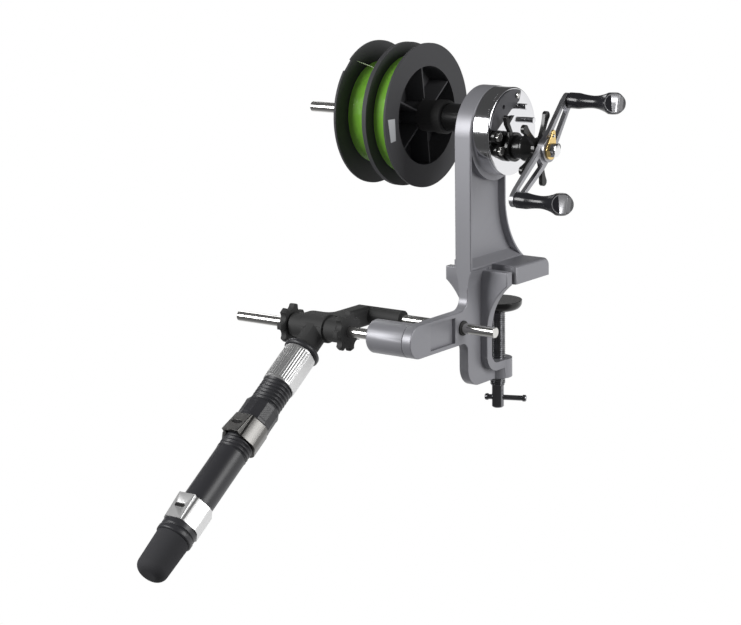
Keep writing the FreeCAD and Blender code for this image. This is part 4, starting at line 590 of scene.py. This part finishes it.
class WINDER_OT_spools(PieceOperator, bpy.types.Operator):
    """Dress both spools and put the blank label on the right one"""
    bl_idname = "winder.spools"
    bl_label = "Spools"

    def execute(self, context):
        dressed("spool_left", 0.3)
        dressed("spool_right", 0.3)
        proud = 0.05 * MM
        paper = 0.04 * MM
        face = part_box("spool_right")[1].x + proud
        corners = ((-62.2, 122.3), (-53.4, 122.1), (-52.4, 105.6), (-58.8, 104.9))
        below, above = ([(face + lift, y * MM, z * MM) for y, z in corners] for lift in (-paper, 0.0))
        show("blank_label", slab("blank_label", below, above), "spindle", "paper_label")
        return {"FINISHED"}


LINE_SPACING = 1.04


class WINDER_OT_line(PieceOperator, bpy.types.Operator):
    """Wind the line on both spools"""
    bl_idname = "winder.line"
    bl_label = "Wound line"

    def execute(self, context):
        coil_tree()
        thick = settings().line_thickness
        for side in ("left", "right"):
            low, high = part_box("line_turns_" + side)
            middle = (low + high) / 2
            outer = (high.z - low.z) / 2
            width = high.x - low.x - thick
            reach = outer - thick / 2
            spacing = thick * LINE_SPACING
            values = {
                "Turns": width / spacing, "Length": width, "Radius": reach, "Strand Radius": thick / 2,
                "Steps": 72, "Sides": 6, "Turned": (0.0, math.radians(90), 0.0),
                "Place": (low.x + thick / 2, middle.y, middle.z),
            }
            mesh = coil("line_turns_look_" + side, "line_green", values)
            show("line_turns_look_" + side, mesh, "spindle", "line_green", "line_turns_" + side)
            dressed("line_core_" + side, 0)
        self.line_end(thick)
        return {"FINISHED"}

    def line_end(self, thick):
        """The line's pale end, from the left flange down to the winding."""
        clear = 0.3 * MM
        forward = 26.5 * MM
        above = 41 * MM
        from_edge = 6 * MM
        low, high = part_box("line_turns_left")
        middle = (low + high) / 2
        outer = (high.z - low.z) / 2 + thick / 2
        first = Vector((low.x + clear, middle.y - forward, middle.z + above))
        angle = math.atan2(first.z - middle.z, first.y - middle.y) - math.radians(3)
        last = Vector((high.x - from_edge, middle.y + outer * math.cos(angle),
                       middle.z + outer * math.sin(angle)))
        bend = (first + last) / 2 + Vector((0, 0, clear))
        curve = bpy.data.curves.new("line_end", "CURVE")
        curve.dimensions = "3D"
        curve.bevel_depth = thick / 2
        curve.use_fill_caps = True
        run = curve.splines.new("POLY")
        run.points.add(2)
        for point, spot in zip(run.points, (first, bend, last)):
            point.co = (*spot, 1)
        holder = bpy.data.objects.new("line_end_holder", curve)
        bpy.context.scene.collection.objects.link(holder)
        mesh = bpy.data.meshes.new_from_object(holder.evaluated_get(bpy.context.evaluated_depsgraph_get()))
        bpy.data.objects.remove(holder)
        mesh.materials.clear()
        show("line_end", mesh, "spindle", "line_pale")


class WINDER_OT_crank(PieceOperator, bpy.types.Operator):
    """Dress the crank, its star drag and the faceted handle knobs"""
    bl_idname = "winder.crank"
    bl_label = "Crank"

    def execute(self, context):
        for node in ("crank_arm", "retainer", "retainer_screw", "crank_nut", "drag_cone", "star_drag",
                     "crank_shaft", "knob_pins"):
            dressed(node, 0.25)
        for side in ("upper", "lower"):
            self.faceted(side + "_knob", side + "_knob")
            self.faceted(side + "_knob_cap", side + "_knob")
        return {"FINISHED"}

    def faceted(self, node, knob):
        """A copy of a knob or its cap, cut by the slanted facet, which is half black and half silver."""
        facet_along = 38 * MM
        facet_out = 4.9 * MM
        rim = 0.6 * MM
        on_plane = 0.02 * MM
        low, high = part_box(knob)
        facing = Vector((0.62, -0.76, 0.16)).normalized()
        spot = Vector((low.x + facet_along, (low.y + high.y) / 2 - facet_out, (low.z + high.z) / 2))
        shape = merged(node)
        parts = shape.verts[:] + shape.edges[:] + shape.faces[:]
        cut = bmesh.ops.bisect_plane(shape, geom=parts, plane_co=spot, plane_no=facing, clear_outer=True)
        outline = [part for part in cut["geom_cut"] if isinstance(part, bmesh.types.BMEdge)]
        facet = bmesh.ops.edgeloop_fill(shape, edges=outline)["faces"]
        across = Vector((1, 0.3, 0.12)).normalized()
        if node == knob:
            for face in bmesh.ops.inset_region(shape, faces=facet, thickness=rim)["faces"]:
                face.material_index = 1
            inner = list(facet)
            for face in facet:
                inner += list(face.edges) + list(face.verts)
            bmesh.ops.bisect_plane(shape, geom=inner, plane_co=spot, plane_no=across)
        for face in shape.faces:
            middle = face.calc_center_median() - spot
            on_facet = abs(middle.dot(facing)) < on_plane
            if on_facet and (node != knob or middle.dot(across) > 0):
                face.material_index = 1
        bmesh.ops.recalc_face_normals(shape, faces=shape.faces)
        piece = dressed(node, 0.12, 30, shape)
        piece.data.materials[0] = bpy.data.materials["knob_black"]
        piece.data.materials.append(bpy.data.materials["knob_silver"])


class WINDER_OT_clamp(PieceOperator, bpy.types.Operator):
    """Dress the pad and bar, and cut the clamp screw's thread"""
    bl_idname = "winder.clamp"
    bl_label = "Clamp"

    def execute(self, context):
        sizes = settings()
        dressed("clamp_pad", 0.3)
        dressed("tommy_bar", 0.2)
        low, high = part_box("clamp_screw")
        crest = 5.9
        core = crest - sizes.screw_depth / MM
        plain = 4.6
        tip = 3.8
        tip_height = 0.8
        shoulder = 0.4
        chamfer = 0.6
        plain_end = -84
        thread_start = -83
        bottom = low.z / MM
        top = high.z / MM
        outline = [(bottom, tip), (bottom + tip_height, plain), (plain_end, plain),
                   (plain_end + shoulder, core), (top - chamfer, core), (top, core - chamfer)]
        show("clamp_screw_look", round_body("clamp_screw_look", outline, 48, upright_frame()),
             "screw", "dark_steel", "clamp_screw")
        strand_share = 0.62
        ridge = sizes.screw_depth * strand_share
        length = (top - thread_start) * MM
        values = {
            "Turns": length / sizes.screw_pitch, "Length": length, "Radius": crest * MM - ridge,
            "Strand Radius": ridge, "Steps": 40, "Sides": 4,
            "Place": (0.0, 0.0, thread_start * MM),
        }
        show("clamp_thread", coil("clamp_thread", "dark_steel", values), "screw", "dark_steel")
        return {"FINISHED"}


class WINDER_OT_bracket(PieceOperator, bpy.types.Operator):
    """Dress the sliding bracket, its rods and star knobs"""
    bl_idname = "winder.bracket"
    bl_label = "Bracket"

    def execute(self, context):
        for node in ("guide_yoke", "front_rod", "rear_rod", "left_star_knob", "right_star_knob"):
            dressed(node, 0.4)
        return {"FINISHED"}


class WINDER_OT_seat(PieceOperator, bpy.types.Operator):
    """Dress the reel seat: threads, knurling, hoods and butt cap"""
    bl_idname = "winder.seat"
    bl_label = "Reel seat"

    def execute(self, context):
        sizes = settings()
        for node in ("swivel_head", "seat_collar", "hood_ring", "butt_cap"):
            dressed(node)
        self.hood("movable_hood", along=109.15, rise=14.35, slot="hood_grey")
        self.hood("fixed_hood", along=187.8, rise=13.55, slot="seat_silver")
        self.tube(sizes)
        self.knurl_sleeve(sizes)
        self.knurl_nut(sizes)
        return {"FINISHED"}

    def tube(self, sizes):
        """The seat tube with a thread on each side of the nut's travel and a slimmer middle."""
        depth = sizes.seat_depth / MM
        pitch = sizes.seat_pitch / MM
        threads = ((61.6, 83.5), (118.0, 128.0))
        outer = 12
        slim = 11.7
        stem = 9.5

        def ridges(along, turn):
            """The rounded thread, which stops where the tube is plain."""
            if not any(first < along < last for first, last in threads):
                return 0
            phase = (along / pitch - turn / (2 * math.pi)) % 1
            return -depth * (0.5 + 0.5 * math.cos(2 * math.pi * phase)) ** 1.6

        outline = [(24.2, stem), (61.4, stem), (61.4, outer)]
        for first, last in ((61.7, 84), (117, 128.2)):
            outline += [(place, outer) for place in steps(first, last, pitch / 9)]
        outline += [(128.4, slim), (177.5, slim), (177.5, outer), (198.1, outer), (198.1, stem), (235, stem)]
        show("seat_tube_look", round_body("seat_tube_look", outline, 72, seat_frame(), ridges, 50),
             "holder", "seat_black", "seat_tube")

    def hood(self, node, along, rise, slot):
        """A hood and the dark oval inlay in its crest."""
        piece = dressed(node, 0.3)
        piece.data.materials[0] = bpy.data.materials[slot]
        straight = 2.85
        round_end = 1.55
        clear = 0.02
        proud = 0.2
        sides = 24
        loops = []
        for height in (rise + clear, rise + proud):
            loop = []
            for step in range(sides):
                turn = 2 * math.pi * (step + 0.5) / sides
                side = straight * (1 if math.cos(turn) > 0 else -1) + round_end * math.cos(turn)
                spot = Vector((along + round_end * math.sin(turn), side, height)) * MM
                loop.append(seat_frame() @ spot)
            loops.append(loop)
        show(node + "_mark", slab(node + "_mark", *loops), NODES[node]["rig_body"], "mark_black")

    def knurl_sleeve(self, sizes):
        """The silver sleeve: a finely lined round with two smooth flats."""
        pitch = sizes.knurl_pitch / MM
        depth = sizes.knurl_depth / MM
        outer = 12.75
        flat = 12.0
        chamfer = 0.6
        knurl_start = 30.2
        knurl_end = 59.6
        plain_share = 0.4
        sides_per_line = 8
        around = round(2 * math.pi * outer / pitch)

        def points(along, turn):
            """Lines along the sleeve, cut away on the flats and at the plain ends."""
            reach = flat / max(abs(math.cos(turn)), 1e-6)
            line = (turn * around / (2 * math.pi)) % 1
            cut = 0.5 + 0.5 * math.cos(2 * math.pi * line)
            low = outer - depth * (cut if knurl_start < along < knurl_end else plain_share)
            return min(low, reach) - outer

        outline = [(28.5, outer - chamfer), (29.0, outer)]
        outline += [(place, outer) for place in (29.4, 30, 30.6, 59, 59.7, 60.4, 60.9)]
        outline += [(61.4, outer - chamfer)]
        sides = around * sides_per_line
        sleeve = round_body("knurled_sleeve_look", outline, sides, seat_frame(), points, 50)
        show("knurled_sleeve_look", sleeve, "holder", "seat_silver", "knurled_sleeve")

    def knurl_nut(self, sizes):
        """The black nut with twelve faces and crossed grooves on them."""
        pitch = sizes.knurl_pitch / MM
        across = 13.2
        groove = 0.25
        grooves_start = 86
        grooves_end = 97
        half = math.pi / 12

        def faces(along, turn):
            """Twelve flat faces with knurled middles."""
            side = (turn + half) % (2 * half) - half
            reach = across / math.cos(side)
            knurl = 0
            if grooves_start < along < grooves_end:
                first = (along / pitch + side * across / pitch) % 1
                second = (along / pitch - side * across / pitch) % 1
                knurl = groove * 2 * max(abs(first - 0.5), abs(second - 0.5))
            return reach - across - knurl

        outline = [(83.2, across - 0.5), (83.7, across)]
        outline += [(place, across) for place in steps(84, 99, pitch / 4)]
        outline += [(99.2, across), (99.55, across - 0.4)]
        nut = round_body("seat_nut_look", outline, 240, seat_frame(), faces, 40)
        show("seat_nut_look", nut, "nut", "seat_black", "seat_nut")


class WINDER_OT_stage(PieceOperator, bpy.types.Operator):
    """Set the white studio, its lamps and the camera"""
    bl_idname = "winder.stage"
    bl_label = "Stage"

    def execute(self, context):
        self.light_world(context.scene)
        centre = (Vector(CAD_BOX[0]) + Vector(CAD_BOX[1])) / 2
        for name, offset, width, power in (
            ("key", (-0.7, -1.1, 0.5), 0.75, 19),
            ("fill", (1.25, 0.25, 0.45), 0.7, 11),
            ("rim", (-0.9, 0.6, 0.5), 0.4, 2),
        ):
            self.lamp(name, centre + Vector(offset), centre, width, power)
        self.set_camera(context.scene)
        context.scene.view_settings.view_transform = "Standard"
        return {"FINISHED"}

    def lamp(self, name, spot, target, width, power):
        """A square lamp that faces the winder."""
        data = bpy.data.lights.new(name, "AREA")
        data.size = width
        data.energy = power
        lamp = bpy.data.objects.new(name, data)
        lamp.location = spot
        lamp.rotation_mode = "QUATERNION"
        lamp.rotation_quaternion = (target - spot).to_track_quat("-Z", "Y")
        bpy.context.scene.collection.objects.link(lamp)

    def light_world(self, scene):
        """White behind the winder, a dim studio in front of it, and a low plain light all round."""
        dim = 0.07
        table_share = 0.35
        plain_level = 0.17
        world = bpy.data.worlds.new("Studio")
        world.use_nodes = True
        scene.world = world
        tree = world.node_tree
        tree.nodes.clear()
        out = tree.nodes.new("ShaderNodeOutputWorld")
        way = tree.nodes.new("ShaderNodeSeparateXYZ")
        tree.links.new(tree.nodes.new("ShaderNodeTexCoord").outputs["Generated"], way.inputs["Vector"])
        behind = self.ramp(tree, way.outputs["Y"], -0.05, 0.35)
        low = self.ramp(tree, way.outputs["Z"], 0.3, -0.06)
        table = self.ramp(tree, way.outputs["Z"], -0.55, -0.95)
        backdrop = add_math(tree, "MAXIMUM", add_math(tree, "MULTIPLY", behind, low),
                            add_math(tree, "MULTIPLY", table, table_share))
        level = add_math(tree, "ADD", add_math(tree, "MULTIPLY", backdrop, 1 - dim), dim)
        studio = tree.nodes.new("ShaderNodeBackground")
        tree.links.new(level, studio.inputs["Color"])
        plain = tree.nodes.new("ShaderNodeBackground")
        plain.inputs["Color"].default_value = (0.98, 0.98, 1, 1)
        plain.inputs["Strength"].default_value = plain_level
        white = tree.nodes.new("ShaderNodeBackground")
        white.inputs["Color"].default_value = (1, 1, 1, 1)
        rays = tree.nodes.new("ShaderNodeLightPath")
        seen = add_math(tree, "MAXIMUM", rays.outputs["Is Glossy Ray"], rays.outputs["Is Transmission Ray"])
        first = tree.nodes.new("ShaderNodeMixShader")
        tree.links.new(seen, first.inputs["Fac"])
        tree.links.new(plain.outputs["Background"], first.inputs[1])
        tree.links.new(studio.outputs["Background"], first.inputs[2])
        second = tree.nodes.new("ShaderNodeMixShader")
        tree.links.new(rays.outputs["Is Camera Ray"], second.inputs["Fac"])
        tree.links.new(first.outputs["Shader"], second.inputs[1])
        tree.links.new(white.outputs["Background"], second.inputs[2])
        tree.links.new(second.outputs["Shader"], out.inputs["Surface"])

    def ramp(self, tree, value, none, full):
        """A smooth share of 0 to 1 as a value goes from none to full."""
        made = tree.nodes.new("ShaderNodeMapRange")
        made.interpolation_type = "SMOOTHSTEP"
        made.inputs["From Min"].default_value = none
        made.inputs["From Max"].default_value = full
        tree.links.new(value, made.inputs["Value"])
        return made.outputs["Result"]

    def set_camera(self, scene):
        """The photograph's camera: its place, turn, height, roll and lens."""
        data = bpy.data.cameras.new("camera")
        data.sensor_width = 36
        data.lens = 112.98
        data.shift_x = -0.0030
        data.shift_y = -0.0006
        data.clip_start = 0.05
        data.clip_end = 20
        turn = math.radians(36.22)
        height = math.radians(12.3)
        roll = math.radians(-0.84)
        right = Vector((math.cos(turn), math.sin(turn), 0))
        ahead = Vector((-math.sin(turn) * math.cos(height), math.cos(turn) * math.cos(height),
                        -math.sin(height)))
        up = right.cross(ahead)
        side = right * math.cos(roll) + up * math.sin(roll)
        top = up * math.cos(roll) - right * math.sin(roll)
        camera = bpy.data.objects.new("camera", data)
        scene.collection.objects.link(camera)
        spot = Vector((938.6, -1441.3, 348.7)) * MM
        camera.matrix_world = Matrix((
            (side.x, top.x, -ahead.x, spot.x),
            (side.y, top.y, -ahead.y, spot.y),
            (side.z, top.z, -ahead.z, spot.z),
            (0, 0, 0, 1),
        ))
        scene.camera = camera


OPERATORS = (
    WINDER_OT_finishes, WINDER_OT_frame, WINDER_OT_gearbox, WINDER_OT_spindle, WINDER_OT_spools,
    WINDER_OT_line, WINDER_OT_crank, WINDER_OT_clamp, WINDER_OT_bracket, WINDER_OT_seat,
    WINDER_OT_stage,
)


class WINDER_PT_pieces(bpy.types.Panel):
    """The winder's pieces in the sidebar"""
    bl_label = "Line Winder"
    bl_idname = "WINDER_PT_pieces"
    bl_space_type = "VIEW_3D"
    bl_region_type = "UI"
    bl_category = "Line Winder"

    def draw(self, context):
        for group in (context.scene.winder_colours, context.scene.winder_sizes):
            for title in group.bl_rna.properties.keys():
                if title not in ("rna_type", "name"):
                    self.layout.prop(group, title)
        for operator in OPERATORS:
            self.layout.operator(operator.bl_idname)


CLASSES = (WinderColours, WinderSizes) + OPERATORS + (WINDER_PT_pieces,)


def register():
    for made in CLASSES:
        bpy.utils.register_class(made)
    bpy.types.Scene.winder_colours = bpy.props.PointerProperty(type=WinderColours)
    bpy.types.Scene.winder_sizes = bpy.props.PointerProperty(type=WinderSizes)


def unregister():
    del bpy.types.Scene.winder_sizes
    del bpy.types.Scene.winder_colours
    for made in reversed(CLASSES):
        bpy.utils.unregister_class(made)


def main():
    register()
    for operator in OPERATORS:
        getattr(bpy.ops.winder, operator.bl_idname.split(".")[1])()


if __name__ == "__main__":
    main()
